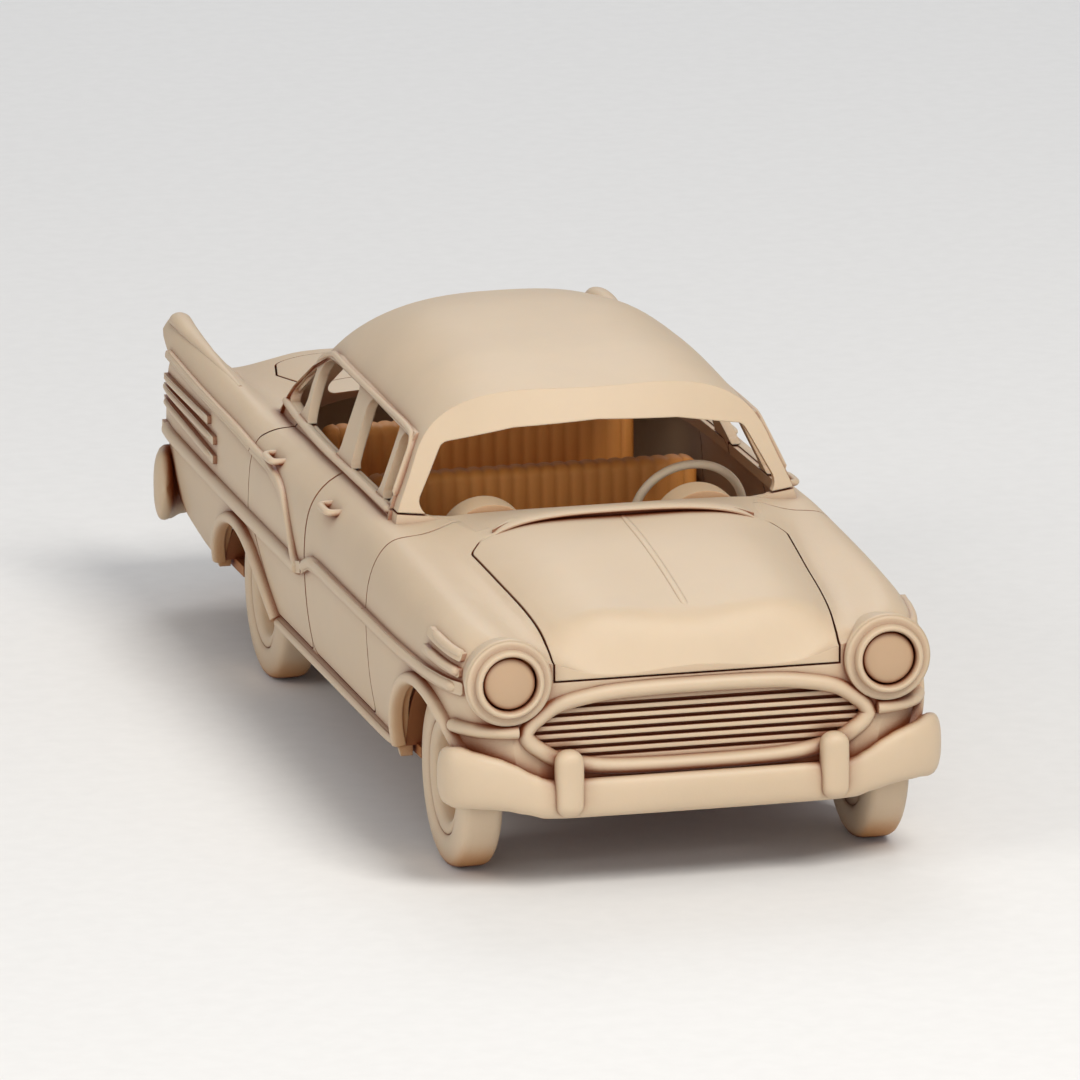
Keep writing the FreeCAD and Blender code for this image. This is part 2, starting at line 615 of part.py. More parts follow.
bonnet_points = both_sides([(x * half_width, at_length(y)) for x, y in BONNET_SHARES])
boot_points = both_sides([(x * half_width, at_length(y)) for x, y in BOOT_SHARES])
bonnet_low = grille_mid + size("grille_height") / 2 + gap
for label, points, low_z in (("bonnet", bonnet_points, bonnet_low), ("boot_lid", boot_points, belt * 0.80)):
    whole = plan_prism(points, half_width * 0.06, low_z, roof)
    inner = plan_prism(points, half_width * 0.06, low_z + gap, roof, -gap)
    keep(piece(label, shell.common(inner)), label)
    shell = outward(shell.cut(whole))
keep(piece("body_shell", shell), "body_shell")

# Floor pan with the four wheel housings and two screw bosses underneath.
floor_z = size("floor_height")
floor_thick = size("floor_thick")
well_radius = size("tyre_radius") + size("well_clearance")
well_inner = tyre_outer_x - size("tyre_width") - size("well_clearance")
PAN_SHARES = [0.04, 0.07, 0.12, 0.2, 0.35, 0.5, 0.65, 0.8, 0.87]
pan_edge = []
for share in PAN_SHARES:
    pan_edge.append(Vector(hull_section(share, wall)[0][0] - gap / 2, hull_start + hull_length * share, floor_z))
pan_edge += [Vector(-p.x, p.y, p.z) for p in reversed(pan_edge)]
pan = Part.Face(Part.makePolygon(pan_edge + pan_edge[:1])).extrude(Vector(0, 0, floor_thick))
housing_x = half_width * 0.78
housings = []
hollows = []
for axle_y in (front_axle_y, rear_axle_y):
    for side in (-1, 1):
        inner_x = side * (well_inner - size("well_wall"))
        outer_x = side * housing_x
        housings.append(Part.makeCylinder(well_radius + size("well_wall"), abs(outer_x - inner_x),
                                          Vector(min(inner_x, outer_x), axle_y, axle_height), Vector(1, 0, 0)))
        inner_x = side * well_inner
        outer_x = side * reach
        hollows.append(Part.makeCylinder(well_radius, abs(outer_x - inner_x),
                                         Vector(min(inner_x, outer_x), axle_y, axle_height), Vector(1, 0, 0)))
above_floor = Part.makeBox(2 * reach, length, belt, Vector(-reach, front, floor_z))
housing = housings[0].multiFuse(housings[1:]).common(above_floor)
pan = pan.fuse([housing])
bearings = []
for axle_y in (front_axle_y, rear_axle_y):
    bearing_half = well_inner - size("well_wall") / 2
    block = 4 * size("axle_radius")
    bearings.append(Part.makeBox(2 * bearing_half, block, block,
                                 Vector(-bearing_half, axle_y - block / 2, axle_height - block / 2)))
bosses = []
bores = []
boss_ys = (front_axle_y + size("wheelbase") * 0.2, front_axle_y + size("wheelbase") * 0.8)
for y in boss_ys:
    start = Vector(0, y, floor_z + floor_thick - size("screw_boss_height"))
    bosses.append(Part.makeCylinder(size("screw_boss_radius"), size("screw_boss_height"), start))
    bores.append(Part.makeCylinder(size("screw_bore_radius"), size("screw_boss_height"), start))
pan = pan.fuse(bearings + bosses)
rods = [Part.makeCylinder(size("axle_radius"), 2 * reach, Vector(-reach, y, axle_height), Vector(1, 0, 0))
        for y in (front_axle_y, rear_axle_y)]
keep(piece("floor_pan", pan.cut(hollows + bores + rods)), "floor_pan")

# Axle rods, tyres, wheels and hub caps.
AXLES = (("front", "-Sizes.overall_length / 2 + Sizes.front_overhang"),
         ("rear", "-Sizes.overall_length / 2 + Sizes.front_overhang + Sizes.wheelbase"))
for place, axle_y in AXLES:
    rod = bound("Part::Cylinder", f"axle_{place}", {
        "Radius": "Sizes.axle_radius",
        "Height": "Sizes.track",
        "Placement.Base.x": "-Sizes.track / 2",
        "Placement.Base.y": axle_y,
        "Placement.Base.z": "Sizes.tyre_radius",
    }, Rotation(Vector(0, 1, 0), 90))
    keep(rod, f"axle_{place}")


def turned_body(name, corners, place):
    """A body turned about its own X axis from a closed profile of (along, out) expressions."""
    turned = doc.addObject("PartDesign::Body", name)
    plane = [f for f in turned.Origin.OriginFeatures if f.Role == "XZ_Plane"][0]
    axis = [f for f in turned.Origin.OriginFeatures if f.Role == "X_Axis"][0]
    sketch = turned.newObject("Sketcher::SketchObject", name + "_profile")
    sketch.AttachmentSupport = [(plane, "")]
    sketch.MapMode = "FlatFace"
    count = len(corners)
    spots = [(k * 1.0, 10.0 + (k % 2)) for k in range(count)]
    for k in range(count):
        a = spots[k]
        b = spots[(k + 1) % count]
        sketch.addGeometry(Part.LineSegment(Vector(a[0], a[1], 0), Vector(b[0], b[1], 0)), False)
    for k in range(count):
        sketch.addConstraint(Sketcher.Constraint("Coincident", k, 2, (k + 1) % count, 1))
    for k, (along, out) in enumerate(corners):
        sketch.addConstraint(Sketcher.Constraint("DistanceX", -1, 1, k, 1, spots[k][0]))
        sketch.setExpression(f"Constraints[{sketch.ConstraintCount - 1}]", along)
        sketch.addConstraint(Sketcher.Constraint("DistanceY", -1, 1, k, 1, spots[k][1]))
        sketch.setExpression(f"Constraints[{sketch.ConstraintCount - 1}]", out)
    turn = turned.newObject("PartDesign::Revolution", name + "_turn")
    turn.Profile = sketch
    turn.ReferenceAxis = (axis, [""])
    turn.Angle = 360
    for path, expression in place.items():
        turned.setExpression(path, expression)
    return turned


SIDES = (("left", 1), ("right", -1))
for place, axle_y in AXLES:
    for side, sign in SIDES:
        spin = Rotation(Vector(0, 0, 1), 0 if sign > 0 else 180)
        stand = {
            ".Placement.Base.x": f"Sizes.track / 2 * {sign}",
            ".Placement.Base.y": axle_y,
            ".Placement.Base.z": "Sizes.tyre_radius",
        }
        tyre = turned_body(f"tyre_{place}_{side}", [
            ("-Sizes.tyre_width * 0.42", "Sizes.rim_radius"),
            ("Sizes.tyre_width * 0.42", "Sizes.rim_radius"),
            ("Sizes.tyre_width * 0.48", "Sizes.rim_radius * 0.8 + Sizes.tyre_radius * 0.2"),
            ("Sizes.tyre_width * 0.5", "Sizes.rim_radius * 0.5 + Sizes.tyre_radius * 0.5"),
            ("Sizes.tyre_width * 0.46", "Sizes.rim_radius * 0.15 + Sizes.tyre_radius * 0.85"),
            ("Sizes.tyre_width * 0.36", "Sizes.tyre_radius * 0.99"),
            ("Sizes.tyre_width * 0.2", "Sizes.tyre_radius"),
            ("-Sizes.tyre_width * 0.2", "Sizes.tyre_radius"),
            ("-Sizes.tyre_width * 0.36", "Sizes.tyre_radius * 0.99"),
            ("-Sizes.tyre_width * 0.46", "Sizes.rim_radius * 0.15 + Sizes.tyre_radius * 0.85"),
            ("-Sizes.tyre_width * 0.5", "Sizes.rim_radius * 0.5 + Sizes.tyre_radius * 0.5"),
            ("-Sizes.tyre_width * 0.48", "Sizes.rim_radius * 0.8 + Sizes.tyre_radius * 0.2"),
        ], stand)
        wheel = turned_body(f"wheel_{place}_{side}", [
            ("-Sizes.rim_width / 2", "Sizes.axle_radius + Sizes.axle_fit"),
            ("Sizes.axle_fit * 2", "Sizes.axle_radius + Sizes.axle_fit"),
            ("Sizes.axle_fit * 2", "0"),
            ("Sizes.rim_width * 0.14", "0"),
            ("Sizes.rim_width * 0.14", "Sizes.rim_radius * 0.66"),
            ("Sizes.rim_width * 0.28", "Sizes.rim_radius * 0.8"),
            ("Sizes.rim_width * 0.46", "Sizes.rim_radius - Sizes.rim_wall"),
            ("Sizes.rim_width * 0.5", "Sizes.rim_radius - Sizes.rim_wall / 2"),
            ("Sizes.rim_width * 0.5", "Sizes.rim_radius - Sizes.axle_fit / 2"),
            ("-Sizes.rim_width / 2", "Sizes.rim_radius - Sizes.axle_fit / 2"),
        ], stand)
        cap = turned_body(f"hub_cap_{place}_{side}", [
            ("Sizes.rim_width * 0.14", "0"),
            ("Sizes.rim_width * 0.14 + Sizes.hub_cap_rise", "0"),
            ("Sizes.rim_width * 0.14 + Sizes.hub_cap_rise * 0.95", "Sizes.hub_cap_radius * 0.35"),
            ("Sizes.rim_width * 0.14 + Sizes.hub_cap_rise * 0.78", "Sizes.hub_cap_radius * 0.68"),
            ("Sizes.rim_width * 0.14 + Sizes.hub_cap_rise * 0.45", "Sizes.hub_cap_radius * 0.92"),
            ("Sizes.rim_width * 0.14", "Sizes.hub_cap_radius"),
        ], stand)
        for made in (tyre, wheel, cap):
            made.Placement = Placement(Vector(0, 0, 0), spin)
            keep(made, made.Name)

# Headlamps: a rolled ring and a domed lens in each nacelle, turned about the lamp's own axis.
forward = Rotation(Vector(0, 0, 1), -90)
LAMP_Y = "-Sizes.overall_length * 0.484"
for side, sign in SIDES:
    stand = {
        ".Placement.Base.x": f"Sizes.lamp_spread / 2 * {sign}",
        ".Placement.Base.y": LAMP_Y,
        ".Placement.Base.z": "Sizes.lamp_height",
    }
    ring = turned_body(f"headlamp_ring_{side}", [
        ("0", "Sizes.lamp_radius"),
        ("Sizes.lamp_ring * 1.2", "Sizes.lamp_radius"),
        ("Sizes.lamp_ring * 1.5", "Sizes.lamp_radius + Sizes.lamp_ring * 0.25"),
        ("Sizes.lamp_ring * 1.5", "Sizes.lamp_radius + Sizes.lamp_ring * 0.7"),
        ("Sizes.lamp_ring * 1.1", "Sizes.lamp_radius + Sizes.lamp_ring"),
        ("0", "Sizes.lamp_radius + Sizes.lamp_ring"),
    ], stand)
    lens = turned_body(f"headlamp_lens_{side}", [
        ("0", "0"),
        ("Sizes.lamp_ring * 2.2", "0"),
        ("Sizes.lamp_ring * 2.05", "Sizes.lamp_radius * 0.4"),
        ("Sizes.lamp_ring * 1.6", "Sizes.lamp_radius * 0.75"),
        ("Sizes.lamp_ring * 0.9", "Sizes.lamp_radius - Sizes.axle_fit / 2"),
        ("0", "Sizes.lamp_radius - Sizes.axle_fit / 2"),
    ], stand)
    for made in (ring, lens):
        made.Placement = Placement(Vector(0, 0, 0), forward)
        keep(made, made.Name)

# Grille: a rolled pointed oval round a comb of level bars.
ring_wide = size("grille_ring")
ring = grille_block(0, ring_front, ring_front + ring_depth).cut(
    grille_block(ring_wide, front, ring_front + 2 * ring_depth))
keep(piece("grille_ring", ring), "grille_ring")
bar_high = size("grille_bar_height")
bar_count = 8
inner_high = size("grille_height") - 2 * ring_wide
bars = []
for k in range(bar_count):
    z = grille_mid - inner_high / 2 + inner_high * (k + 0.5) / bar_count
    bars.append(Part.makeBox(2 * grille_half, ring_depth * 0.5, bar_high,
                             Vector(-grille_half, nose_y + ring_depth * 0.1, z - bar_high / 2)))
plate = Part.makeBox(2 * grille_half, ring_depth * 0.3, size("grille_height"),
                     Vector(-grille_half, nose_y + ring_depth * 0.5, size("grille_low")))
insert = plate.fuse(bars).common(grille_block(ring_wide, front, ring_front + 2 * ring_depth))
keep(piece("grille_bars", insert), "grille_bars")

# Bumpers: a rounded bar swept round the corners, with its ends kicked up.
# Each stop: half-width share, share of the wrap back, share of the kick up, height factor, thickness factor.
BUMPER_PATH_SHARES = [(0, 0, 0, 1, 1), (0.35, 0.012, 0, 1, 1), (0.60, 0.05, 0.02, 1, 1), (0.72, 0.10, 0.22, 1.05, 1.05),
                      (0.82, 0.18, 0.62, 1.22, 1.15), (0.90, 0.30, 0.90, 1.45, 1.3), (0.96, 0.47, 1, 1.6, 1.35),
                      (0.99, 0.70, 1, 1.5, 1.2), (1, 1, 1, 1.2, 0.8)]


def bumper(low, wrap, y_sign, tip_y, wide, high):
    """A bar bent round in plan; y_sign is -1 for the front one and 1 for the rear one."""
    thick = size("bumper_thick")
    half = wide / 2 - thick / 2
    stops = [(-p[0],) + p[1:] for p in reversed(BUMPER_PATH_SHARES[1:])] + BUMPER_PATH_SHARES
    path = [Vector(half * x, tip_y - y_sign * (thick / 2 + wrap * d), low + high / 2 + size("bumper_kick") * k)
            for x, d, k, _, _ in stops]
    wires = []
    for k, centre in enumerate(path):
        before = path[max(k - 1, 0)]
        after = path[min(k + 1, len(path) - 1)]
        along = Vector(after.x - before.x, after.y - before.y, 0).normalize()
        outward = Vector(along.y, -along.x, 0) * -y_sign
        ring_points = []
        for step in range(16):
            turn = 2 * math.pi * step / 16
            c = math.cos(turn)
            s = math.sin(turn)
            across = math.copysign(abs(c) ** 0.6, c) * stops[k][4] * thick / 2
            up = math.copysign(abs(s) ** 0.7, s) * stops[k][3] * high / 2
            ring_points.append(centre + outward * across + Vector(0, 0, up))
        curve = Part.BSplineCurve()
        curve.interpolate(ring_points, PeriodicFlag=True)
        wires.append(Part.Wire([curve.toShape()]))
    return Part.makeLoft(wires, True, False)


bumper_front = front + size("overrider_width") * 0.25
post_seats = []
for side, sign in SIDES:
    post_seats.append(Part.makeBox(size("overrider_width"), size("bumper_thick") * 1.05, 2 * size("overrider_height"),
                                   Vector(sign * size("overrider_spread") / 2 - size("overrider_width") / 2,
                                          front, size("bumper_low") - size("overrider_height") / 2)))
front_bar = bumper(size("bumper_low"), length * 0.042, -1, bumper_front, size("bumper_width"),
                   size("bumper_height"))
front_bar = outward(front_bar.cut([outer, grille_block(0, front, ring_front + ring_depth)] + post_seats))
keep(piece("front_bumper", front_bar), "front_bumper")
rear_bar = bumper(size("rear_bumper_low"), length * 0.05, 1, -front, size("rear_bumper_width"),
                  size("rear_bumper_height")).cut(outer)
keep(piece("rear_bumper", rear_bar), "rear_bumper")

for side, sign in SIDES:
    post = doc.addObject("PartDesign::Body", f"overrider_{side}")
    block = post.newObject("PartDesign::AdditiveBox", f"overrider_block_{side}")
    for path, expression in (("Length", "Sizes.overrider_width"), ("Width", "Sizes.bumper_thick * 1.05"),
                             ("Height", "Sizes.overrider_height")):
        block.setExpression(path, expression)
    doc.recompute()
    rounded = post.newObject("PartDesign::Fillet", f"overrider_round_{side}")
    rounded.Base = (block, [f"Edge{k + 1}" for k in range(len(block.Shape.Edges))])
    rounded.setExpression("Radius", "Sizes.bumper_thick * 0.45")
    post.setExpression(".Placement.Base.x",
                       f"Sizes.overrider_spread / 2 * {sign} - Sizes.overrider_width / 2")
    post.setExpression(".Placement.Base.y", "-Sizes.overall_length / 2")
    post.setExpression(".Placement.Base.z", "Sizes.bumper_low + Sizes.bumper_height * 0.1")
    keep(post, f"overrider_{side}")


def skin_half_width(y, z):
    """Half width of the lower body's skin at a height, on its outer side."""
    points = hull_section((y - hull_start) / hull_length, 0)
    for (x1, z1), (x2, z2) in zip(points, points[1:]):
        if z1 <= z <= z2:
            return x1 + (x2 - x1) * (z - z1) / (z2 - z1)
    return points[0][0]


# Door handles: a bar on two feet.
HANDLE_SHARES = {"front": (0.426, 0.922), "rear": (0.607, 0.915)}
for place, (y_share, z_share) in HANDLE_SHARES.items():
    for side, sign in SIDES:
        y = at_length(y_share)
        z = belt * z_share
        x = skin_half_width(y, z)
        long = length * 0.033
        high = belt * 0.032
        stand = belt * 0.056
        grip = Part.makeBox(high, long, high, Vector(x + stand - high, y - long / 2, z - high / 2))
        grip = grip.makeFillet(high * 0.3, grip.Edges)
        feet = [Part.makeBox(stand, long * 0.2, high * 0.7,
                             Vector(x - high * 0.4, y + shift, z - high * 0.35))
                for shift in (-long * 0.42, long * 0.22)]
        handle = grip.fuse(feet).cut(outer_hull)
        if sign < 0:
            handle = handle.mirror(Vector(0, 0, 0), Vector(1, 0, 0))
        label = f"handle_{place}_{side}"
        keep(piece(label, handle), label)

# Cabin: dashboard, steering and two bench seats.
room = hull_solid(wall + gap).fuse(canopy_solid(wall + gap).common(greenhouse_block(wall + gap)))
DASH_SHARES = [(0.282, 0.70), (0.280, 0.95), (0.300, 0.985), (0.322, 0.985), (0.333, 0.94), (0.333, 0.84),
               (0.318, 0.70)]
dash = side_prism(side_points(DASH_SHARES, belt), belt * 0.03, -reach, reach)
hood_z = belt * 0.875
for side in (-1, 1):
    dash = dash.fuse(Part.makeCylinder(belt * 0.16, length * 0.030,
                                       Vector(side * half_width * 0.445, at_length(0.3065), hood_z), Vector(0, 1, 0)))
dash = dash.common(room)
keep(piece("dashboard", dash), "dashboard")
rake = math.radians(18)
wheel_centre = Vector(size("steering_offset"), at_length(0.3845), belt * 0.87)
column_run = length * 0.055
column_aim = Vector(0, math.cos(rake), math.sin(rake))
column = Part.makeCylinder(size("steering_rim") * 1.4, column_run, wheel_centre - column_aim * column_run,
                           column_aim).cut(dash)
keep(piece("steering_column", column), "steering_column")
rim = Part.makeTorus(size("steering_wheel_radius"), size("steering_rim"), wheel_centre, column_aim)
hub = Part.makeCylinder(size("steering_rim") * 2.6, size("steering_rim") * 2,
                        wheel_centre - column_aim * size("steering_rim"), column_aim)
spoke = Part.makeCylinder(size("steering_rim") * 0.8, 2 * size("steering_wheel_radius"),
                          wheel_centre - Vector(size("steering_wheel_radius"), 0, 0), Vector(1, 0, 0))
lower_aim = Vector(1, 0, 0).cross(column_aim)
post = Part.makeCylinder(size("steering_rim") * 0.8, size("steering_wheel_radius"), wheel_centre, lower_aim * -1)
steering = rim.fuse([hub, spoke, post]).cut(column)
keep(piece("steering_wheel", steering), "steering_wheel")

seat_floor = floor_z + floor_thick
for label, y_share, wide in (("front_bench", 0.43, 1.0), ("rear_bench", 0.60, 0.96)):
    y = at_length(y_share)
    half = size("seat_width") / 2 * wide
    depth = size("cushion_depth")
    back = size("seat_back_thick")
    cushion = Part.makeBox(2 * half, depth, size("cushion_height"), Vector(-half, y, seat_floor))
    rest = Part.makeBox(2 * half, back, size("seat_back_height"), Vector(-half, y + depth - back, seat_floor))
    bench = cushion.fuse(rest).removeSplitter().common(room).cut([pan] + bearings + rods)
    keep(piece(label, bench), label)

doc.recompute()
for made in doc.Objects:
    if "Invalid" in made.State or "Error" in made.State:
        raise RuntimeError(f"{made.Name}: {made.State}")
os.makedirs("parts", exist_ok=True)
for made in nodes:
    shape = made.Shape
    if shape.isNull() or not shape.isValid():
        raise RuntimeError(f"{made.Label}: bad shape")
    if len(shape.Solids) != 1:
        print(made.Label, "has", len(shape.Solids), "solids")
    shape.exportStep(f"parts/{made.Label}.step")
    box = shape.BoundBox
    print(f"{made.Label:24} volume {shape.Volume:9.1f}  x {box.XMin:7.2f} {box.XMax:7.2f}  "
          f"y {box.YMin:7.2f} {box.YMax:7.2f}  z {box.ZMin:6.2f} {box.ZMax:6.2f}")
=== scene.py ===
import math

import bmesh
import bpy
from mathutils import Matrix, Vector
from mathutils.bvhtree import BVHTree


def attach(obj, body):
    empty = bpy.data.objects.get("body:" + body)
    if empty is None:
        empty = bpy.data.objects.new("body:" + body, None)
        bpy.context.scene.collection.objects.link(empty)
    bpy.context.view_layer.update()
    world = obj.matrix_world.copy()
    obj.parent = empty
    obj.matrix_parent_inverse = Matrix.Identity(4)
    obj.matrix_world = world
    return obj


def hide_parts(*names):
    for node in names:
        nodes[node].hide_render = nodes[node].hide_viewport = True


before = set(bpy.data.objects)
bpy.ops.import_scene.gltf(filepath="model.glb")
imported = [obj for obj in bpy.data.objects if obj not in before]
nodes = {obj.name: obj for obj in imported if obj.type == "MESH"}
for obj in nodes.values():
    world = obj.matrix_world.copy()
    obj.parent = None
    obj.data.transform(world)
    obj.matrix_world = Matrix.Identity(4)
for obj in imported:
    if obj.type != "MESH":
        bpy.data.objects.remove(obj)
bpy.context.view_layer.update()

# Camera at the photograph's viewpoint, with a long lens
EYE = Vector((-0.42745, -1.67749, 0.44985))
TARGET = Vector((0.00073, 0.0, 0.02799))
ROLL = math.radians(-0.335)

camera = bpy.data.cameras.new("camera")
camera_object = bpy.data.objects.new("camera", camera)
bpy.context.collection.objects.link(camera_object)
camera.lens = 400.0
camera.sensor_width = 36.0
camera.clip_start = 0.05
camera.clip_end = 20.0
aim = (TARGET - EYE).to_track_quat("-Z", "Y").to_matrix().to_4x4()
camera_object.matrix_world = Matrix.Translation(EYE) @ aim @ Matrix.Rotation(ROLL, 4, "Z")
bpy.context.scene.camera = camera_object

# Materials: all of it is one tan resin, with painted shade, darker and redder, where it is hollow
WHITE = (1, 1, 1)
HALF_GREY = (0.5, 0.5, 0.5)
BLACK = (0, 0, 0)
OCCLUSION_SAMPLES = 5
BEVEL_SAMPLES = 4
MOTTLE_SCALE = 90.0
CLOUD_SCALE = 22.0
GRAIN_SCALE = 2600.0
WIDE_HOLLOW_SHADE = [(0.15, WHITE), (0.62, BLACK)]
FINE_GROOVE_SHADE = [(0.46, WHITE), (0.92, BLACK)]


class Graph:
    """A material's node tree, with short ways to add and join nodes."""

    def __init__(self, name):
        self.material = bpy.data.materials.new(name)
        self.material.use_nodes = True
        self.tree = self.material.node_tree
        self.shader = self.tree.nodes["Principled BSDF"]

    def add(self, kind, values):
        """A new node, with the values of its inputs by name."""
        made = self.tree.nodes.new(kind)
        for name, value in values.items():
            made.inputs[name].default_value = value
        return made

    def join(self, a, b):
        self.tree.links.new(a, b)

    def noise(self, scale, detail, rough=0.5):
        made = self.add("ShaderNodeTexNoise", {"Scale": scale, "Detail": detail, "Roughness": rough})
        coords = self.add("ShaderNodeTexCoord", {})
        self.join(coords.outputs["Object"], made.inputs["Vector"])
        return made.outputs["Fac"]

    def ramp(self, source, stops):
        made = self.add("ShaderNodeValToRGB", {})
        for element, (place, colour) in zip(made.color_ramp.elements, stops):
            element.position = place
            element.color = (*colour, 1.0)
        self.join(source, made.inputs["Fac"])
        return made.outputs["Color"]

    def mix(self, factor, a, b):
        """Colour a where the factor is black and b where it is white; each is a colour or an output."""
        made = self.add("ShaderNodeMix", {})
        made.data_type = "RGBA"
        for value, socket in ((factor, made.inputs[0]), (a, made.inputs[6]), (b, made.inputs[7])):
            if isinstance(value, tuple):
                socket.default_value = (*value, 1.0)
            else:
                self.join(value, socket)
        return made.outputs[2]

    def occlusion(self, distance):
        made = self.add("ShaderNodeAmbientOcclusion", {"Distance": distance})
        made.samples = OCCLUSION_SAMPLES
        return made.outputs["AO"]


RESIN = (0.575, 0.450, 0.315)
RESIN_PAINTED_SHADE = (0.44, 0.195, 0.055)
CABIN_PAINTED_SHADE = (0.46, 0.15, 0.022)
CREVICE_PAINTED_SHADE = (0.19, 0.040, 0.008)

# Colour, colour of the painted shade in hollows, roughness, then three distances in metres: how wide a groove
# may be and still get dark painted shade, how wide a hollow may be and still get warm painted shade,
# and how round the edges look
FINISHES = {
    "body": (RESIN, RESIN_PAINTED_SHADE, 0.50, 0.0024, 0.030, 0.00030),
    "trim": (RESIN, RESIN_PAINTED_SHADE, 0.46, 0.0026, 0.008, 0.00030),
    # The cabin's orange base colour is painted shade: the seats are the same resin, made darker and warmer
    # where the cabin shades them
    "cabin": ((0.82, 0.37, 0.10), (0.62, 0.22, 0.035), 0.58, 0.0010, 0.030, 0.00030),
    "dash": ((0.60, 0.44, 0.28), CABIN_PAINTED_SHADE, 0.55, 0.0012, 0.008, 0.00030),
    "wheel": (RESIN, RESIN_PAINTED_SHADE, 0.50, 0.0014, 0.007, 0.00025),
    "tyre": ((0.57, 0.45, 0.32), RESIN_PAINTED_SHADE, 0.56, 0.0012, 0.010, 0.00035),
    # The rim's pale base colour is painted light: the steering wheel is made paler so that it looks lit under
    # the roof's shade
    "rim": ((0.86, 0.72, 0.54), RESIN, 0.45, 0.0005, 0.002, 0.00020),
    # The well's dark brown base colour is painted shade, for the shaded wheel wells and the floor under the
    # car
    "well": ((0.36, 0.155, 0.05), (0.17, 0.045, 0.010), 0.60, 0.0016, 0.030, 0.00020),
    "lens": ((0.47, 0.32, 0.20), RESIN_PAINTED_SHADE, 0.42, 0.0009, 0.006, 0.00020),
    "rod": ((0.54, 0.41, 0.28), RESIN_PAINTED_SHADE, 0.50, 0.0010, 0.010, 0.00020),
}

# The finish of the CAD nodes whose names start so; the others have the body's
NODE_FINISHES = (
    ("tyre", "tyre"), ("wheel_", "wheel"), ("hub_cap", "wheel"), ("axle", "rod"), ("front_bench", "cabin"),
    ("rear_bench", "cabin"), ("floor_pan", "well"), ("steering_wheel", "rim"), ("steering_column", "dash"),
    ("dashboard", "dash"), ("grille", "trim"), ("headlamp", "trim"), ("front_bumper", "trim"),
    ("rear_bumper", "trim"), ("overrider", "trim"), ("handle", "trim"))


def resin(name, base, deep, roughness, groove, hollow, edge_radius):
    """Printed resin, pale where open, with painted shade: warm brown in hollows, dark red-brown in every fine
    groove.
    """
    g = Graph(name)
    mottle = g.noise(MOTTLE_SCALE, 4.0, 0.6)
    cloud = g.noise(CLOUD_SCALE, 2.0)
    paler = tuple(min(1.0, c * 1.07) for c in base)
    warmer = (base[0] * 0.97, base[1] * 0.93, base[2] * 0.88)
    tone = g.mix(g.ramp(mottle, [(0.3, BLACK), (0.75, WHITE)]), base, paler)
    tone = g.mix(g.ramp(cloud, [(0.35, BLACK), (0.7, HALF_GREY)]), tone, warmer)
    # Painted shade: ambient occlusion turns wide hollows to the deep colour and fine grooves to the crevice
    # colour
    tone = g.mix(g.ramp(g.occlusion(hollow), WIDE_HOLLOW_SHADE), tone, deep)
    tone = g.mix(g.ramp(g.occlusion(groove), FINE_GROOVE_SHADE), tone, CREVICE_PAINTED_SHADE)
    g.join(tone, g.shader.inputs["Base Color"])
    grain = g.noise(GRAIN_SCALE, 2.0)
    rough = g.add("ShaderNodeMapRange", {"To Min": roughness - 0.05, "To Max": roughness + 0.07})
    g.join(mottle, rough.inputs["Value"])
    g.join(rough.outputs["Result"], g.shader.inputs["Roughness"])
    edge = g.add("ShaderNodeBevel", {"Radius": edge_radius})
    edge.samples = BEVEL_SAMPLES
    bump = g.add("ShaderNodeBump", {"Strength": 0.25, "Distance": 0.00004})
    g.join(grain, bump.inputs["Height"])
    g.join(edge.outputs["Normal"], bump.inputs["Normal"])
    g.join(bump.outputs["Normal"], g.shader.inputs["Normal"])
    for socket, value in (("Specular IOR Level", 0.38), ("Subsurface Weight", 0.12),
                          ("Subsurface Radius", (1.0, 0.45, 0.2)), ("Subsurface Scale", 0.0012)):
        g.shader.inputs[socket].default_value = value
    return g.material


materials = {name: resin(f"resin_{name}", *finish) for name, finish in FINISHES.items()}


def material_of(node_name):
    for start, finish in NODE_FINISHES:
        if node_name.startswith(start):
            return materials[finish]
    return materials["body"]


for name, node in nodes.items():
    if not node.material_slots:
        node.data.materials.append(material_of(name))
    for slot in node.material_slots:
        slot.material = material_of(name)

# Pieces. From here to the floor every length is in millimetres, and add_piece turns them into metres.
# BELT and ROOF are heights, and the axles are given by their y
MM = 0.001
SIDES = (("left", 1), ("right", -1))
LENGTH = 193.0
BELT = 41.67
ROOF = 63.0
AXLES = {"front": -74.4, "rear": 38.1}
WHEEL_X = 29.9
TYRE_RADIUS = 13.1
AXLE_Z = TYRE_RADIUS
BEAD_FULLNESS = 0.75
LEAST_END_SCALE = 0.12

# Rays to the body start this far out, and a hit nearer the middle than LEAST_SIDE_X went through a window or
# an arch. Where nothing is hit, the usual place of the surface is taken
RAY_SIDE_X = 60
RAY_TOP_Z = 90
LEAST_SIDE_X = 20
USUAL_SIDE_X = 34
USUAL_TOP_Z = 42.0
ROAD_PANELS = ("body_shell", "bonnet", "boot_lid", "door_front_left", "door_front_right", "door_rear_left",
               "door_rear_right")


def skin_of(names):
    """A search tree, in metres, over the faces of these CAD nodes, for laying trim on the body's surface."""
    points = []
    faces = []
    for name in names:
        mesh = nodes[name].data
        start = len(points)
        points += [nodes[name].matrix_world @ v.co for v in mesh.vertices]
        faces += [[start + i for i in face.vertices] for face in mesh.polygons]
    return BVHTree.FromPolygons(points, faces)


skin = skin_of(ROAD_PANELS)


def face_outward(mesh, weld=False):
    """Turns every face outward, and first welds points that meet if asked."""
    shape = bmesh.new()
    shape.from_mesh(mesh)
    if weld:
        bmesh.ops.remove_doubles(shape, verts=shape.verts, dist=1e-7)
    bmesh.ops.recalc_face_normals(shape, faces=shape.faces)
    shape.to_mesh(mesh)
    shape.free()


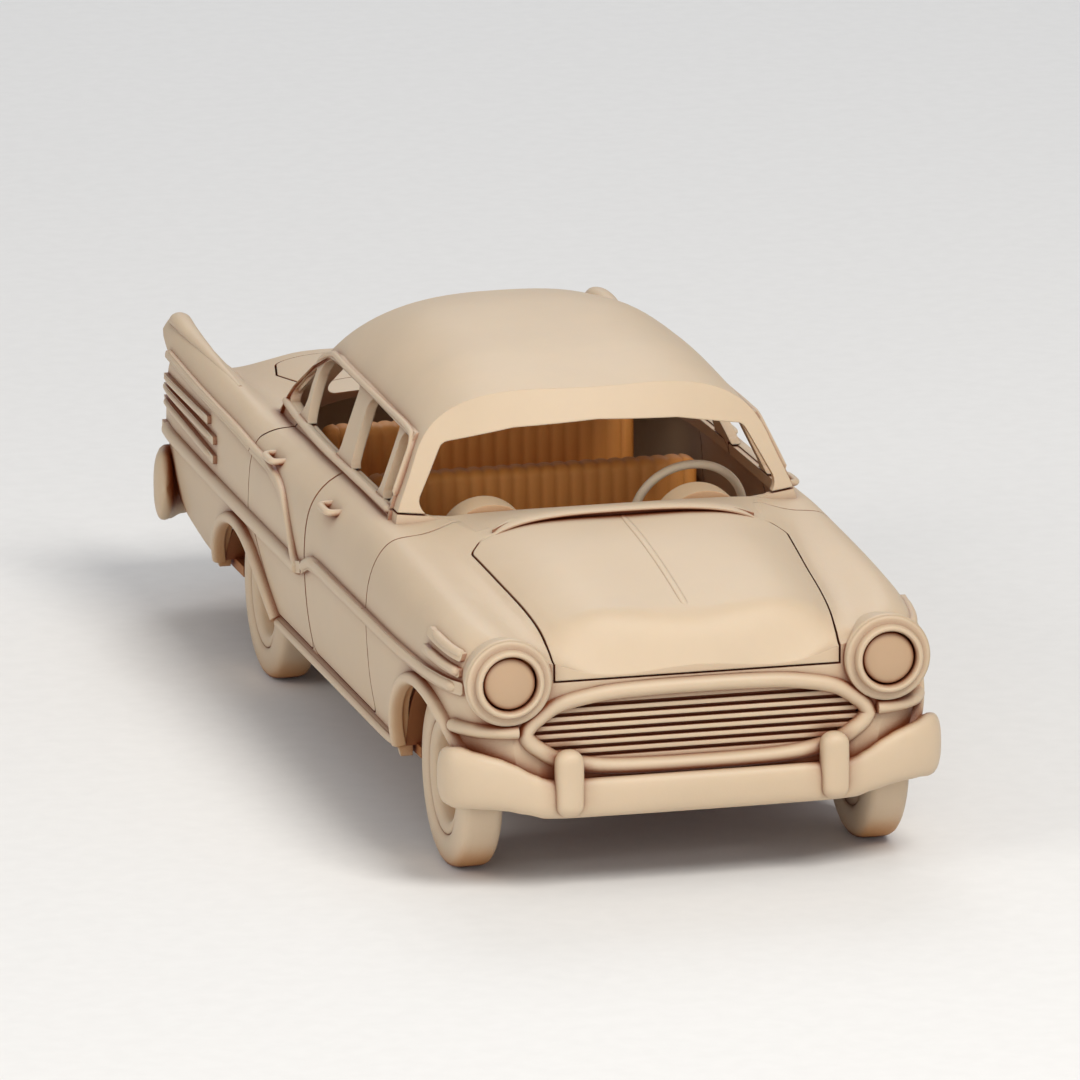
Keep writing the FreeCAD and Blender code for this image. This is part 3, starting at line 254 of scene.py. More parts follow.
def add_piece(name, points, faces, finish, stands_for=(), body="car", sharp=40.0):
    """A mesh piece, smooth but for edges sharper than the given angle."""
    mesh = bpy.data.meshes.new(name)
    mesh.from_pydata([tuple(c * MM for c in p) for p in points], [], faces)
    face_outward(mesh)
    mesh.shade_smooth()
    mesh.set_sharp_from_angle(angle=math.radians(sharp))
    mesh.materials.append(materials[finish])
    made = bpy.data.objects.new(name, mesh)
    bpy.context.collection.objects.link(made)
    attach(made, body)
    if stands_for:
        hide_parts(*stands_for)
    return made


# Paths, profiles and the surfaces between them
def rings_to_faces(ring_count, ring_size, closed=False):
    """Quads between neighbouring rings, with both ends capped where the run is open."""
    faces = []
    for k in range(ring_count if closed else ring_count - 1):
        a = k * ring_size
        b = ((k + 1) % ring_count) * ring_size
        for i in range(ring_size):
            j = (i + 1) % ring_size
            faces.append((a + i, a + j, b + j, b + i))
    if not closed:
        faces.append(tuple(reversed(range(ring_size))))
        faces.append(tuple((ring_count - 1) * ring_size + i for i in range(ring_size)))
    return faces


def sweep(path, outs, profile, closed=False, scales=None):
    """Points and faces of (across, out) pairs carried along a path; outs point away from the body."""
    points = []
    count = len(path)
    for k, place in enumerate(path):
        before = path[(k - 1) % count] if closed else path[max(k - 1, 0)]
        after = path[(k + 1) % count] if closed else path[min(k + 1, count - 1)]
        along = (after - before).normalized()
        side = along.cross(outs[k]).normalized()
        out = side.cross(along)
        grow = scales[k] if scales else 1.0
        points += [place + side * a * grow + out * b * grow for a, b in profile]
    return points, rings_to_faces(count, len(profile), closed)


def runs_along(path):
    """How far each point of a path is from its start, along it."""
    runs = [0.0]
    for a, b in zip(path, path[1:]):
        runs.append(runs[-1] + (b - a).length)
    return runs


def flow(knots, count, steps=24):
    """Evenly spread points on a smooth curve through the knots."""
    dense = []
    for k in range(len(knots) - 1):
        p0 = knots[max(k - 1, 0)]
        p1 = knots[k]
        p2 = knots[k + 1]
        p3 = knots[min(k + 2, len(knots) - 1)]
        for step in range(steps):
            t = step / steps
            dense.append(0.5 * (2 * p1 + (p2 - p0) * t + (2 * p0 - 5 * p1 + 4 * p2 - p3) * t ** 2
                                + (3 * p1 - p0 - 3 * p2 + p3) * t ** 3))
    dense.append(knots[-1].copy())
    runs = runs_along(dense)
    spread = []
    k = 0
    for step in range(count):
        want = runs[-1] * step / (count - 1)
        while k < len(runs) - 2 and runs[k + 1] < want:
            k += 1
        share = (want - runs[k]) / max(runs[k + 1] - runs[k], 1e-9)
        spread.append(dense[k].lerp(dense[k + 1], share))
    return spread


def evened(values, passes):
    """A list of numbers or vectors with its ripples taken out."""
    for _ in range(passes):
        inner = [(a + 2 * b + c) / 4 for a, b, c in zip(values, values[1:], values[2:])]
        values = [values[0]] + inner + [values[-1]]
    return values


def closing(left, reach, least=0.0):
    """The scale, 0 to 1, that rounds off an end at this distance from it."""
    return max(math.sqrt(max(1 - (1 - min(left / reach, 1.0)) ** 2, 0.0)), least)


def rounded_ends(path, reach_start, reach_end):
    """Scales along a path that close each end in a round over its reach."""
    runs = runs_along(path)
    return [max(min(closing(run, reach_start), closing(runs[-1] - run, reach_end)), LEAST_END_SCALE)
            for run in runs]


def unit_round(steps, power_across=1.0, power_up=1.0):
    """Points round a circle of radius 1, squared off where the powers are under 1."""
    pairs = []
    for step in range(steps):
        turn = 2 * math.pi * step / steps
        c = math.cos(turn)
        s = math.sin(turn)
        pairs.append((math.copysign(abs(c) ** power_across, c), math.copysign(abs(s) ** power_up, s)))
    return pairs


def bead(half, out, sink=0.6, steps=9):
    """The cross section of a rounded moulding: half its width, how far it stands out and how deep it sits."""
    top = []
    for k in range(steps):
        turn = math.pi * k / (steps - 1)
        top.append((half * math.cos(turn), out * math.sin(turn) ** BEAD_FULLNESS))
    return [(half, -sink)] + top + [(-half, -sink)]


# Mouldings along the sides
def side_hit(sign, y, z):
    """Where a level ray from that side meets the body, and the surface's direction there."""
    place, normal, _, _ = skin.ray_cast(Vector((sign * RAY_SIDE_X, y, z)) * MM, Vector((-sign, 0, 0)))
    return (place / MM, normal) if place else (None, None)


SIDE_PASSES = 12
BESIDE_BAND = 0.6


def side_run(sign, knots, count, off, lift):
    """A path on one side of the body through (y, z) knots, and the directions away from the body on it.

    With off, the body is measured that far above and below the path, beside the band that is already there.
    """
    flat = flow([Vector((0, y, z)) for y, z in knots], count)
    xs = []
    outs = []
    for spot in flat:
        found = [side_hit(sign, spot.y, spot.z + shift) for shift in ((off, -off) if off else (0,))]
        found = [(p, n) for p, n in found if p is not None and sign * p.x > LEAST_SIDE_X]
        if found:
            xs.append(sum(p.x for p, _ in found) / len(found))
            if len(found) == 2:
                rise = found[0][0] - found[1][0]
                slope = -sign * rise.x * (1 if rise.z > 0 else -1)
                outs.append(Vector((sign * abs(rise.z), 0, slope)).normalized())
            else:
                outs.append(found[0][1].copy())
        else:
            xs.append(xs[-1] if xs else sign * USUAL_SIDE_X)
            outs.append(outs[-1] if outs else Vector((sign, 0, 0)))
    xs = evened(xs, SIDE_PASSES)
    outs = [o.normalized() for o in evened(outs, SIDE_PASSES)]
    return [Vector((x, p.y, p.z)) + o * lift for x, p, o in zip(xs, flat, outs)], outs


def at_share(share):
    """The y at a share of the car's length, from its nose."""
    return -LENGTH / 2 + LENGTH * share


def side_moulding(name, shares, high, half, out, count, ends, over_band=True, lift=0.0):
    """The same moulding on both sides, through knots that are shares of the length and of a height.

    half is half its width, out how far it stands out, and ends the reach of the round at each end.
    """
    knots = [(at_share(y), z * high) for y, z in shares]
    for side, sign in SIDES:
        path, outs = side_run(sign, knots, count, half + BESIDE_BAND if over_band else 0.0, lift)
        points, faces = sweep(path, outs, bead(half, out), scales=rounded_ends(path, *ends))
        add_piece(f"{name}_{side}", points, faces, "trim")


def with_middle(low, high):
    return [low, ((low[0] + high[0]) / 2, (low[1] + high[1]) / 2), high]


REAR_STRIP = [(0.4925, 0.634), (0.60, 0.634), (0.80, 0.639), (0.975, 0.645)]
FRONT_STRIP = [(0.4775, 0.648), (0.470, 0.672), (0.455, 0.695), (0.435, 0.705), (0.30, 0.705), (0.15, 0.705),
               (0.046, 0.705)]
FLASH_STRIP = [(0.4925, 0.640), (0.503, 0.652), (0.514, 0.695), (0.530, 0.755), (0.547, 0.81), (0.568, 0.848),
               (0.61, 0.876), (0.665, 0.885), (0.756, 0.908), (0.833, 0.930), (0.905, 0.955), (0.94, 0.965)]
FIN_RIBS = (((0.782, 0.724), (0.966, 0.759)), ((0.782, 0.795), (0.966, 0.818)),
            ((0.80, 0.855), (0.95, 0.868)))
WING_RIBS = (((0.044, 0.757), (0.106, 0.782)), ((0.044, 0.812), (0.104, 0.842)))
SILL_BAR = [(0.2135, 0.312), (0.35, 0.312), (0.50, 0.312), (0.607, 0.312)]
DRIP_RAIL = [(0.330, 0.700), (0.335, 0.76), (0.343, 0.825), (0.365, 0.838), (0.43, 0.8405), (0.50, 0.842),
             (0.60, 0.838), (0.645, 0.822), (0.678, 0.778), (0.700, 0.715), (0.7085, 0.682)]
WINDOW_SILL = [(0.330, 0.6665), (0.45, 0.6665), (0.60, 0.6665), (0.716, 0.6665)]

side_moulding("rear_side_strip", REAR_STRIP, BELT, half=1.15, out=1.15, count=90, ends=(1.2, 0.5))
side_moulding("front_side_strip", FRONT_STRIP, BELT, half=0.95, out=1.1, count=90, ends=(1.0, 2.0))
side_moulding("flash_strip", FLASH_STRIP, BELT, half=0.62, out=0.85, count=110, ends=(0.8, 1.0))
for k, rib in enumerate(FIN_RIBS):
    side_moulding(f"fin_rib_{k + 1}", with_middle(*rib), BELT, half=0.72, out=1.0, count=40, ends=(7.0, 0.6))
for k, rib in enumerate(WING_RIBS):
    side_moulding(f"wing_rib_{k + 1}", with_middle(*rib), BELT, half=0.75, out=1.0, count=30, ends=(1.2, 3.5))
side_moulding("sill_bar", SILL_BAR, BELT, half=0.85, out=1.1, count=60, ends=(0.8, 0.8), over_band=False,
              lift=-0.55)
side_moulding("drip_rail", DRIP_RAIL, ROOF, half=0.5, out=0.75, count=110, ends=(0.6, 0.6), over_band=False,
              lift=-0.35)
side_moulding("window_sill", WINDOW_SILL, ROOF, half=0.62, out=0.75, count=80, ends=(0.6, 1.5),
              over_band=False)

# Lips round the wheel arches: the centre (y, z) and radius of each arch
LIP_ARCHES = (("front", -73.6, 9.75, 16.8), ("rear", 39.76, 0.5, 23.04))
LIP_OUTSIDE_ARCH = 0.5
LIP_INTO_SKIN = 0.5
LIP_LOW_Z = 12.9
LIP_STEPS = 60
LIP_PASSES = 10

for place, centre_y, centre_z, radius in LIP_ARCHES:
    low = math.asin((LIP_LOW_Z - centre_z) / (radius + LIP_OUTSIDE_ARCH))
    for side, sign in SIDES:
        path = []
        outs = [Vector((sign, 0, 0))] * (LIP_STEPS + 1)
        for k in range(LIP_STEPS + 1):
            turn = low + (math.pi - 2 * low) * k / LIP_STEPS
            y = centre_y - (radius + LIP_OUTSIDE_ARCH) * math.cos(turn)
            z = centre_z + (radius + LIP_OUTSIDE_ARCH) * math.sin(turn)
            spot, _ = side_hit(sign, y, z)
            if spot is None or sign * spot.x < LEAST_SIDE_X:
                spot = path[-1] if path else Vector((sign * USUAL_SIDE_X, y, z))
            path.append(Vector((spot.x, y, z)))
        xs = evened([p.x for p in path], LIP_PASSES)
        path = [Vector((x - sign * LIP_INTO_SKIN, p.y, p.z)) for x, p in zip(xs, path)]
        points, faces = sweep(path, outs, bead(half=0.95, out=1.35, steps=11),
                              scales=rounded_ends(path, 0.8, 0.8))
        add_piece(f"arch_lip_{place}_{side}", points, faces, "body")

# Bumpers. Each stop from the middle to the tip has its share of the half width, of the wrap towards the
# car and of the kick upward, then how many times as tall and as thick the bar is there
BUMPER_STOPS = [(0, 0, 0, 1, 1), (0.35, 0.012, 0, 1, 1), (0.60, 0.05, 0.02, 1, 1),
                (0.68, 0.08, 0.24, 1.08, 1.03), (0.76, 0.13, 0.58, 1.24, 1.1), (0.82, 0.18, 0.78, 1.34, 1.18),
                (0.90, 0.30, 0.93, 1.45, 1.3), (0.96, 0.47, 1, 1.6, 1.35), (0.99, 0.70, 1, 1.5, 1.2),
                (1, 1, 1, 1.2, 0.8)]
BUMPER_RING = unit_round(28, 0.72, 0.82)
BUMPER_TIP_ROUND = 1.8
BUMPER_TIP_LEAST = 0.15


def bumper(name, low, wrap, y_sign, tip_y, wide, high, thick, kick, count=110):
    """A smooth bar bent round the car's end, its tips kicked up and swollen.

    low is its underside in the middle, and tip_y its furthest y.
    """
    half = wide / 2 - thick / 2
    stops = [(-s[0],) + s[1:] for s in reversed(BUMPER_STOPS[1:])] + BUMPER_STOPS
    centres = [Vector((half * x, tip_y - y_sign * (thick / 2 + wrap * d), low + high / 2 + kick * k))
               for x, d, k, _, _ in stops]
    path = flow(centres, count)
    runs = runs_along(centres)
    points = []
    for k, centre in enumerate(path):
        want = runs[-1] * k / (count - 1)
        at = max(i for i in range(len(runs) - 1) if runs[i] <= want + 1e-6)
        share = (want - runs[at]) / (runs[at + 1] - runs[at])
        share = share * share * (3 - 2 * share)
        tall = stops[at][3] + (stops[at + 1][3] - stops[at][3]) * share
        deep = stops[at][4] + (stops[at + 1][4] - stops[at][4]) * share
        close = closing(min(want, runs[-1] - want), BUMPER_TIP_ROUND, BUMPER_TIP_LEAST)
        before = path[max(k - 1, 0)]
        after = path[min(k + 1, count - 1)]
        along = Vector((after.x - before.x, after.y - before.y, 0)).normalized()
        out = Vector((along.y, -along.x, 0)) * -y_sign
        for c, s in BUMPER_RING:
            across = c * deep * thick / 2 * close
            up = s * tall * high / 2 * close
            points.append(centre + out * across + Vector((0, 0, up)))
    add_piece(name, points, rings_to_faces(count, len(BUMPER_RING)), "trim", (name.replace("_bar", ""),))


bumper("front_bumper_bar", low=11.0, wrap=8.106, y_sign=-1, tip_y=-95.525, wide=74.0, high=5.6, thick=2.7,
       kick=3.2)
bumper("rear_bumper_bar", low=11.6, wrap=9.65, y_sign=1, tip_y=96.5, wide=77.0, high=7.4, thick=2.7,
       kick=3.2)

# Overriders: upright posts on the front bumper
POST_X = 19.4
POST_Y = -94.75
POST_LOW = 11.4
POST_HIGH = 9.7
POST_HALF_WIDE = 1.95
POST_HALF_DEEP = 1.78
POST_ROUND = 1.7
POST_STATIONS = 22
POST_RING = unit_round(24, 0.7, 0.7)

for side, sign in SIDES:
    points = []
    for k in range(POST_STATIONS):
        t = k / (POST_STATIONS - 1)
        z = POST_LOW + POST_HIGH * (1 - math.cos(math.pi * t)) / 2
        rise = (1 - math.cos(math.pi * t)) / 2
        close = closing(min(rise, 1 - rise) * POST_HIGH, POST_ROUND, 0.08)
        swell = 1.0 + 0.05 * math.sin(math.pi * t)
        points += [Vector((sign * POST_X + c * POST_HALF_WIDE * swell * (0.12 + 0.88 * close),
                           POST_Y + s * POST_HALF_DEEP * (0.2 + 0.8 * close), z)) for c, s in POST_RING]
    add_piece(f"overrider_post_{side}", points, rings_to_faces(POST_STATIONS, len(POST_RING)), "trim",
              (f"overrider_{side}",))


# Headlamps, grille surround and wheels. A turned profile is (along the axis, out from it) pairs
def turned_piece(name, profile, steps, place, facing, finish, stands_for, body="car"):
    """A turned piece whose own axis points the way that facing says; a profile point at out 0 is a pole."""
    spin = Vector((1, 0, 0)).rotation_difference(Vector(facing))
    points = []
    for c, s in unit_round(steps):
        points += [spin @ Vector((a, r * c, r * s)) + Vector(place) for a, r in profile]
    faces = []
    size = len(profile)
    for step in range(steps):
        a = step * size
        b = ((step + 1) % steps) * size
        faces += [(a + k, a + k + 1, b + k + 1, b + k) for k in range(size - 1)]
    made = add_piece(name, points, faces, finish, stands_for, body, sharp=32.0)
    face_outward(made.data, weld=True)


LAMP_X = 27.7
LAMP_FACE_Y = -93.41
LAMP_Z = 31.0
LAMP_STEPS = 72
LAMP_BEZEL = [(-1.2, 3.95), (0.45, 3.95), (0.95, 4.03), (1.24, 4.24), (1.30, 4.5), (1.18, 4.76), (0.85, 4.94),
              (0.45, 5.0), (0.20, 5.05), (0.12, 5.25), (0.14, 5.6), (0.06, 5.95), (-0.12, 6.18), (-0.4, 6.3),
              (-0.8, 6.32), (-1.2, 6.2), (-1.2, 3.95)]
LAMP_GLASS = [(-1.2, 3.72), (0.10, 3.72), (0.32, 3.62), (0.46, 3.35), (0.60, 2.7), (0.72, 1.8), (0.78, 0.9),
              (0.80, 0.0)]

for side, sign in SIDES:
    place = (sign * LAMP_X, LAMP_FACE_Y, LAMP_Z)
    turned_piece(f"headlamp_bezel_{side}", LAMP_BEZEL, LAMP_STEPS, place, (0, -1, 0), "trim",
                 (f"headlamp_ring_{side}",))
    turned_piece(f"headlamp_glass_{side}", LAMP_GLASS, LAMP_STEPS, place, (0, -1, 0), "lens",
                 (f"headlamp_lens_{side}",))

# A quarter of the grille's outline, as shares of its half width and of its height
GRILLE_QUARTER = [(1.0, 0.0), (0.975, 0.10), (0.93, 0.19), (0.80, 0.36), (0.55, 0.465), (0.28, 0.495),
                  (0, 0.5)]
GRILLE_HALF_WIDE = 26.3
GRILLE_HIGH = 13.8
GRILLE_Y = -92.0
GRILLE_Z = 23.1
SURROUND_HALF = 1.2
SURROUND_OUT = 1.45

ring_half = GRILLE_HALF_WIDE - SURROUND_HALF
ring_high = GRILLE_HIGH - 2 * SURROUND_HALF
quarter = [Vector((x * ring_half, 0, z * ring_high)) for x, z in GRILLE_QUARTER]
loop = quarter + [Vector((-p.x, 0, p.z)) for p in reversed(quarter[:-1])]
loop += [Vector((p.x, 0, -p.z)) for p in reversed(loop[1:-1])] + [quarter[0].copy()]
path = [Vector((p.x, GRILLE_Y, GRILLE_Z + p.z)) for p in flow(loop, 181)[:-1]]
tube = [(SURROUND_HALF * c, SURROUND_OUT * s) for c, s in unit_round(18)]
points, faces = sweep(path, [Vector((0, -1, 0))] * len(path), tube, closed=True)
add_piece("grille_surround", points, faces, "trim", ("grille_ring",))

TYRE = [(-2.7, 8.4), (2.55, 8.4), (2.75, 8.55), (3.05, 9.0), (3.17, 9.6), (3.2, 10.3), (3.16, 11.0),
        (3.02, 11.7), (2.78, 12.3), (2.45, 12.75), (2.0, 12.98), (1.4, 13.07), (0.0, TYRE_RADIUS),
        (-1.4, 13.07), (-2.0, 12.98), (-2.45, 12.75), (-2.78, 12.3), (-3.02, 11.7), (-3.16, 11.0),
        (-3.2, 10.3), (-3.17, 9.6), (-3.05, 9.0), (-2.7, 8.4)]
WHEEL_DISC = [(-2.6, 8.38), (2.35, 8.38), (2.62, 8.32), (2.74, 8.12), (2.74, 7.85), (2.68, 7.5), (2.58, 7.15),
              (2.44, 6.85), (2.22, 6.6), (1.85, 6.42), (1.2, 6.28), (0.4, 6.15), (-0.3, 6.02), (-0.55, 5.8),
              (-0.62, 5.4), (-0.62, 1.3), (-2.6, 1.3), (-2.6, 8.38)]
HUB_DOME = [(-0.7, 0.0), (-0.7, 4.1), (-0.35, 4.15), (0.1, 4.05), (0.5, 3.8), (0.95, 3.45), (1.35, 3.0),
            (1.7, 2.45), (1.95, 1.85), (2.1, 1.3), (2.2, 0.7), (2.24, 0.0)]

for end, axle_y in AXLES.items():
    for side, sign in SIDES:
        place = (sign * WHEEL_X, axle_y, AXLE_Z)
        for piece, profile, steps, finish, node in (("tyre_round", TYRE, 96, "tyre", "tyre"),
                                                    ("wheel_disc", WHEEL_DISC, 96, "wheel", "wheel"),
                                                    ("hub_dome", HUB_DOME, 72, "wheel", "hub_cap")):
            turned_piece(f"{piece}_{end}_{side}", profile, steps, place, (sign, 0, 0), finish,
                         (f"{node}_{end}_{side}",), f"wheel_body_{end}_{side}")

# Seats with upright pleats
BENCH_DEPTH = 18.0
BENCH_BACK = 5.0
BENCH_LOW = 13.6
CUSHION_HIGH = 9.4
BACK_HIGH = 25.5
BENCH_EDGE = 1.6
FOOT_EDGE = 0.6
SEAT_CREASE = 1.0
CUSHION_SAG = 0.12
PLEAT_DEPTH = 0.24
PLEAT_STATIONS = 6
END_ROUND = 1.2


def pleated_bench(name, node, half, y, pleats):
    """A bench whose cushion and back are stitched in upright pleats, with rounded edges."""
    outline = []

    def corner(cy, cz, start_deg, end_deg, radius, steps=5):
        for k in range(steps + 1):
            turn = math.radians(start_deg + (end_deg - start_deg) * k / steps)
            outline.append((cy + radius * math.cos(turn), cz + radius * math.sin(turn)))

    top = BENCH_LOW + CUSHION_HIGH
    high = BENCH_LOW + BACK_HIGH
    corner(y + FOOT_EDGE, BENCH_LOW + FOOT_EDGE, 270, 180, FOOT_EDGE, 3)
    corner(y + BENCH_EDGE, top - BENCH_EDGE, 180, 90, BENCH_EDGE)
    for k in range(1, 6):
        outline.append((y + BENCH_EDGE + (BENCH_DEPTH - BENCH_BACK - BENCH_EDGE - SEAT_CREASE) * k / 6,
                        top - CUSHION_SAG * math.sin(math.pi * k / 6)))
    corner(y + BENCH_DEPTH - BENCH_BACK - SEAT_CREASE, top + SEAT_CREASE, 270, 360, SEAT_CREASE, 4)
    for k in range(1, 5):
        outline.append((y + BENCH_DEPTH - BENCH_BACK,
                        top + SEAT_CREASE + (high - top - SEAT_CREASE - BENCH_EDGE) * k / 5))
    corner(y + BENCH_DEPTH - BENCH_BACK + BENCH_EDGE, high - BENCH_EDGE, 180, 90, BENCH_EDGE)
    corner(y + BENCH_DEPTH - BENCH_EDGE, high - BENCH_EDGE, 90, 0, BENCH_EDGE)
    corner(y + BENCH_DEPTH - FOOT_EDGE, BENCH_LOW + FOOT_EDGE, 360, 270, FOOT_EDGE, 3)
    count = len(outline)
    inward = []
    for k in range(count):
        a = outline[k - 1]
        b = outline[(k + 1) % count]
        run = math.hypot(b[0] - a[0], b[1] - a[1])
        inward.append(((b[1] - a[1]) / run, -(b[0] - a[0]) / run))
    points = []
    stations = pleats * PLEAT_STATIONS + 1
    for k in range(stations):
        x = -half + 2 * half * k / (stations - 1)
        groove = abs(math.cos(math.pi * k / PLEAT_STATIONS)) ** 6
        from_end = min(k, stations - 1 - k) / PLEAT_STATIONS
        shrink = END_ROUND * (1 - closing(from_end, 1.0))
        sink = PLEAT_DEPTH * groove * (1 if from_end > 0.9 else 0) + shrink
        points += [Vector((x, oy + iy * sink, oz + iz * sink)) for (oy, oz), (iy, iz) in zip(outline, inward)]
    add_piece(name, points, rings_to_faces(stations, count), "cabin", (node,), sharp=50.0)


pleated_bench("front_seat", "front_bench", half=25.0, y=-13.51, pleats=23)
pleated_bench("rear_seat", "rear_bench", half=24.0, y=19.3, pleats=22)

# Door handles: a loop of round bar on two feet. Each handle's place is in shares of the length and the belt's
# height, and its knots are (out from the door, along it). The door is measured above and below the handle
HANDLES = (("front", 0.426, 0.922), ("rear", 0.607, 0.915))
HANDLE_KNOTS = ((-0.8, 2.9), (1.3, 2.8), (2.0, 1.9), (2.1, -1.2), (1.8, -2.5), (0.9, -2.95), (-0.8, -3.0))
HANDLE_BAR = [(0.62 * c, 0.52 * s) for c, s in unit_round(14)]
HANDLE_POINTS = 46
HANDLE_BELOW = 2.4
HANDLE_ABOVE = 2.0
USUAL_HANDLE_X = 35.0

for place, y_share, z_share in HANDLES:
    for side, sign in SIDES:
        y = at_share(y_share)
        z = BELT * z_share
        below, _ = side_hit(sign, y, z - HANDLE_BELOW)
        above, _ = side_hit(sign, y, z + HANDLE_ABOVE)
        x = (below.x + above.x) / 2 if below and above else sign * USUAL_HANDLE_X
        path = flow([Vector((x + sign * out, y + along, z)) for out, along in HANDLE_KNOTS], HANDLE_POINTS)
        points, faces = sweep(path, [Vector((0, 0, 1))] * len(path), HANDLE_BAR)
        add_piece(f"door_pull_{place}_{side}", points, faces, "trim", (f"handle_{place}_{side}",))

# The cowl between the bonnet and the windscreen: its front edge overhangs and leaves a dark slit
COWL_STATIONS = 81
COWL_HALF = 23.8
COWL_FRONT_Y = -51.4
COWL_BACK_Y = -38.7
COWL_SWEEP = 1.1
COWL_LIP_HIGH = 1.15
COWL_LIP_HALF = 19.4
CROWN_Z = 43.62
CROWN_FLAT_Y = -50.0
CROWN_FALL = 0.106
WING_X = 24.0
WING_Z = 40.1
WING_Y = -56.0
WING_RISE = 0.111
OVER_SOLIDS = 0.06


def cowl_height(x, y):
    """The height of a smooth skin from wing to wing, just over the solids."""
    crown = CROWN_Z - max(y - CROWN_FLAT_Y, 0.0) * CROWN_FALL
    wing = WING_Z + WING_RISE * (y - WING_Y)
    return wing + (crown - wing) * (1 - (abs(x) / WING_X) ** 4.5) + OVER_SOLIDS


def cowl_section(x):
    """The cowl's outline (y, z) at one x: the lip's edge, the top running back, and the underside."""
    lip = COWL_LIP_HIGH * max(1 - abs(x / COWL_LIP_HALF) ** 2.5, 0.0) ** 0.6
    front = COWL_FRONT_Y - COWL_SWEEP * (x / 18.6) ** 2
    edge = cowl_height(x, front) + lip
    back = cowl_height(x, COWL_BACK_Y)
    top = [(front + run, cowl_height(x, front + run) + share * lip)
           for run, share in ((3.0, 0.98), (6.0, 0.80), (9.0, 0.45))]
    return [(front + 0.10, edge - 0.58), (front, edge - 0.42), (front + 0.05, edge - 0.2),
            (front + 0.35, edge - 0.08), (front + 1.2, edge + 0.05 * lip), *top, (COWL_BACK_Y, back),
            (COWL_BACK_Y + 0.2, back - 0.7), (COWL_BACK_Y - 0.3, back - 1.2), (front + 1.5, edge - lip - 1.4),
            (front + 1.5, edge - 0.55)]


points = []
for k in range(COWL_STATIONS):
    x = -COWL_HALF + 2 * COWL_HALF * k / (COWL_STATIONS - 1)
    section = cowl_section(x)
    points += [Vector((x, y, z)) for y, z in section]
add_piece("cowl", points, rings_to_faces(COWL_STATIONS, len(section)), "body")


# The crease down the bonnet
CREASE_FRONT_Y = -90.0
CREASE_STATIONS = 41
CREASE_DOWN = 0.02


def top_hit(x, y):
    """Where a ray from above meets the body."""
    place, _, _, _ = skin.ray_cast(Vector((x, y, RAY_TOP_Z)) * MM, Vector((0, 0, -1)))
    return place / MM if place else Vector((x, y, USUAL_TOP_Z))


ys = [CREASE_FRONT_Y + k for k in range(CREASE_STATIONS)]
zs = evened([top_hit(0, y).z for y in ys], 6)
path = [Vector((0, y, z - CREASE_DOWN)) for y, z in zip(ys, zs)]
points, faces = sweep(path, [Vector((0, 0, 1))] * len(path), bead(half=0.55, out=0.16, sink=0.3, steps=7),
                      scales=rounded_ends(path, 6.0, 6.0))
add_piece("bonnet_crease", points, faces, "body")

# Mouldings round the wings' corners, under the headlamps
CORNER_X = 25.5
CORNER_Y = -84.5
CORNER_Z = 23.7
CORNER_START_DEG = 4
CORNER_TURN_DEG = 82
CORNER_STEPS = 44
CORNER_RAY = 30
USUAL_CORNER_RAY = 22

for side, sign in SIDES:
    path = []
    outs = []
    for k in range(CORNER_STEPS + 1):
        turn = math.radians(CORNER_START_DEG + CORNER_TURN_DEG * k / CORNER_STEPS)
        away = Vector((sign * math.sin(turn), -math.cos(turn), 0))
        origin = Vector((sign * CORNER_X, CORNER_Y, CORNER_Z)) + away * CORNER_RAY
        place, _, _, _ = skin.ray_cast(origin * MM, -away)
        path.append(place / MM if place else origin - away * USUAL_CORNER_RAY)
        outs.append(away)
    path = evened(path, 6)
    points, faces = sweep(path, outs, bead(half=1.0, out=1.45), scales=rounded_ends(path, 0.2, 1.5))
    add_piece(f"lamp_moulding_{side}", points, faces, "body")

# Broad rounded crests along the fins: where each starts and how long it is, in shares of the length, and
# the x that the fin's highest line is looked for at
CREST_START = 0.775
CREST_SHARE = 0.203
CREST_STEPS = 55
CREST_XS = [28.0 + 0.25 * step for step in range(33)]
CREST_X_PASSES = 25
CREST_Z_PASSES = 6
CREST_END_SHARE = 0.05
CREST_DOWN = 0.72
CREST_RING = unit_round(22)

for side, sign in SIDES:
    path = []
    for k in range(CREST_STEPS + 1):
        y = at_share(CREST_START + CREST_SHARE * k / CREST_STEPS)
        path.append(max((top_hit(sign * x, y) for x in CREST_XS), key=lambda spot: spot.z))
    xs = evened([p.x for p in path], CREST_X_PASSES)
    zs = evened([p.z for p in path], CREST_Z_PASSES)
    points = []
    for k, (x, p, z) in enumerate(zip(xs, path, zs)):
        share = k / CREST_STEPS
        close = closing(1 - share, CREST_END_SHARE, 0.3)
        wide = (0.35 + 1.45 * share ** 1.1) * (0.4 + 0.6 * close)
        tall = (0.30 + 0.95 * share) * (0.4 + 0.6 * close)
        crest = Vector((x, p.y, z))
        points += [crest + Vector((wide * c, 0, tall * s - tall * CREST_DOWN)) for c, s in CREST_RING]
    add_piece(f"fin_crest_{side}", points, rings_to_faces(len(path), len(CREST_RING)), "body")

# Wheel wells behind the arches. Each arch has a centre (y, z) and a radius; a liner follows it from the outer
# to the inner x, and a wall closes it on the inside
WELL_ARCHES = (("front", -73.63, 9.75, 16.75), ("rear", 39.76, 0.5, 22.95))
CLEAR_OF_TYRE = 14.1
LINER_OUTER_X = 33.9
LINER_INNER_X = 23.0
LINER_THICK = 0.6
LINER_LOW_Z = 13.3
WALL_X = (22.8, 23.6)
WALL_LOW_Z = 16.0
WELL_STATIONS = 49
WELL_START_DEG = -12
WELL_TURN_DEG = 204


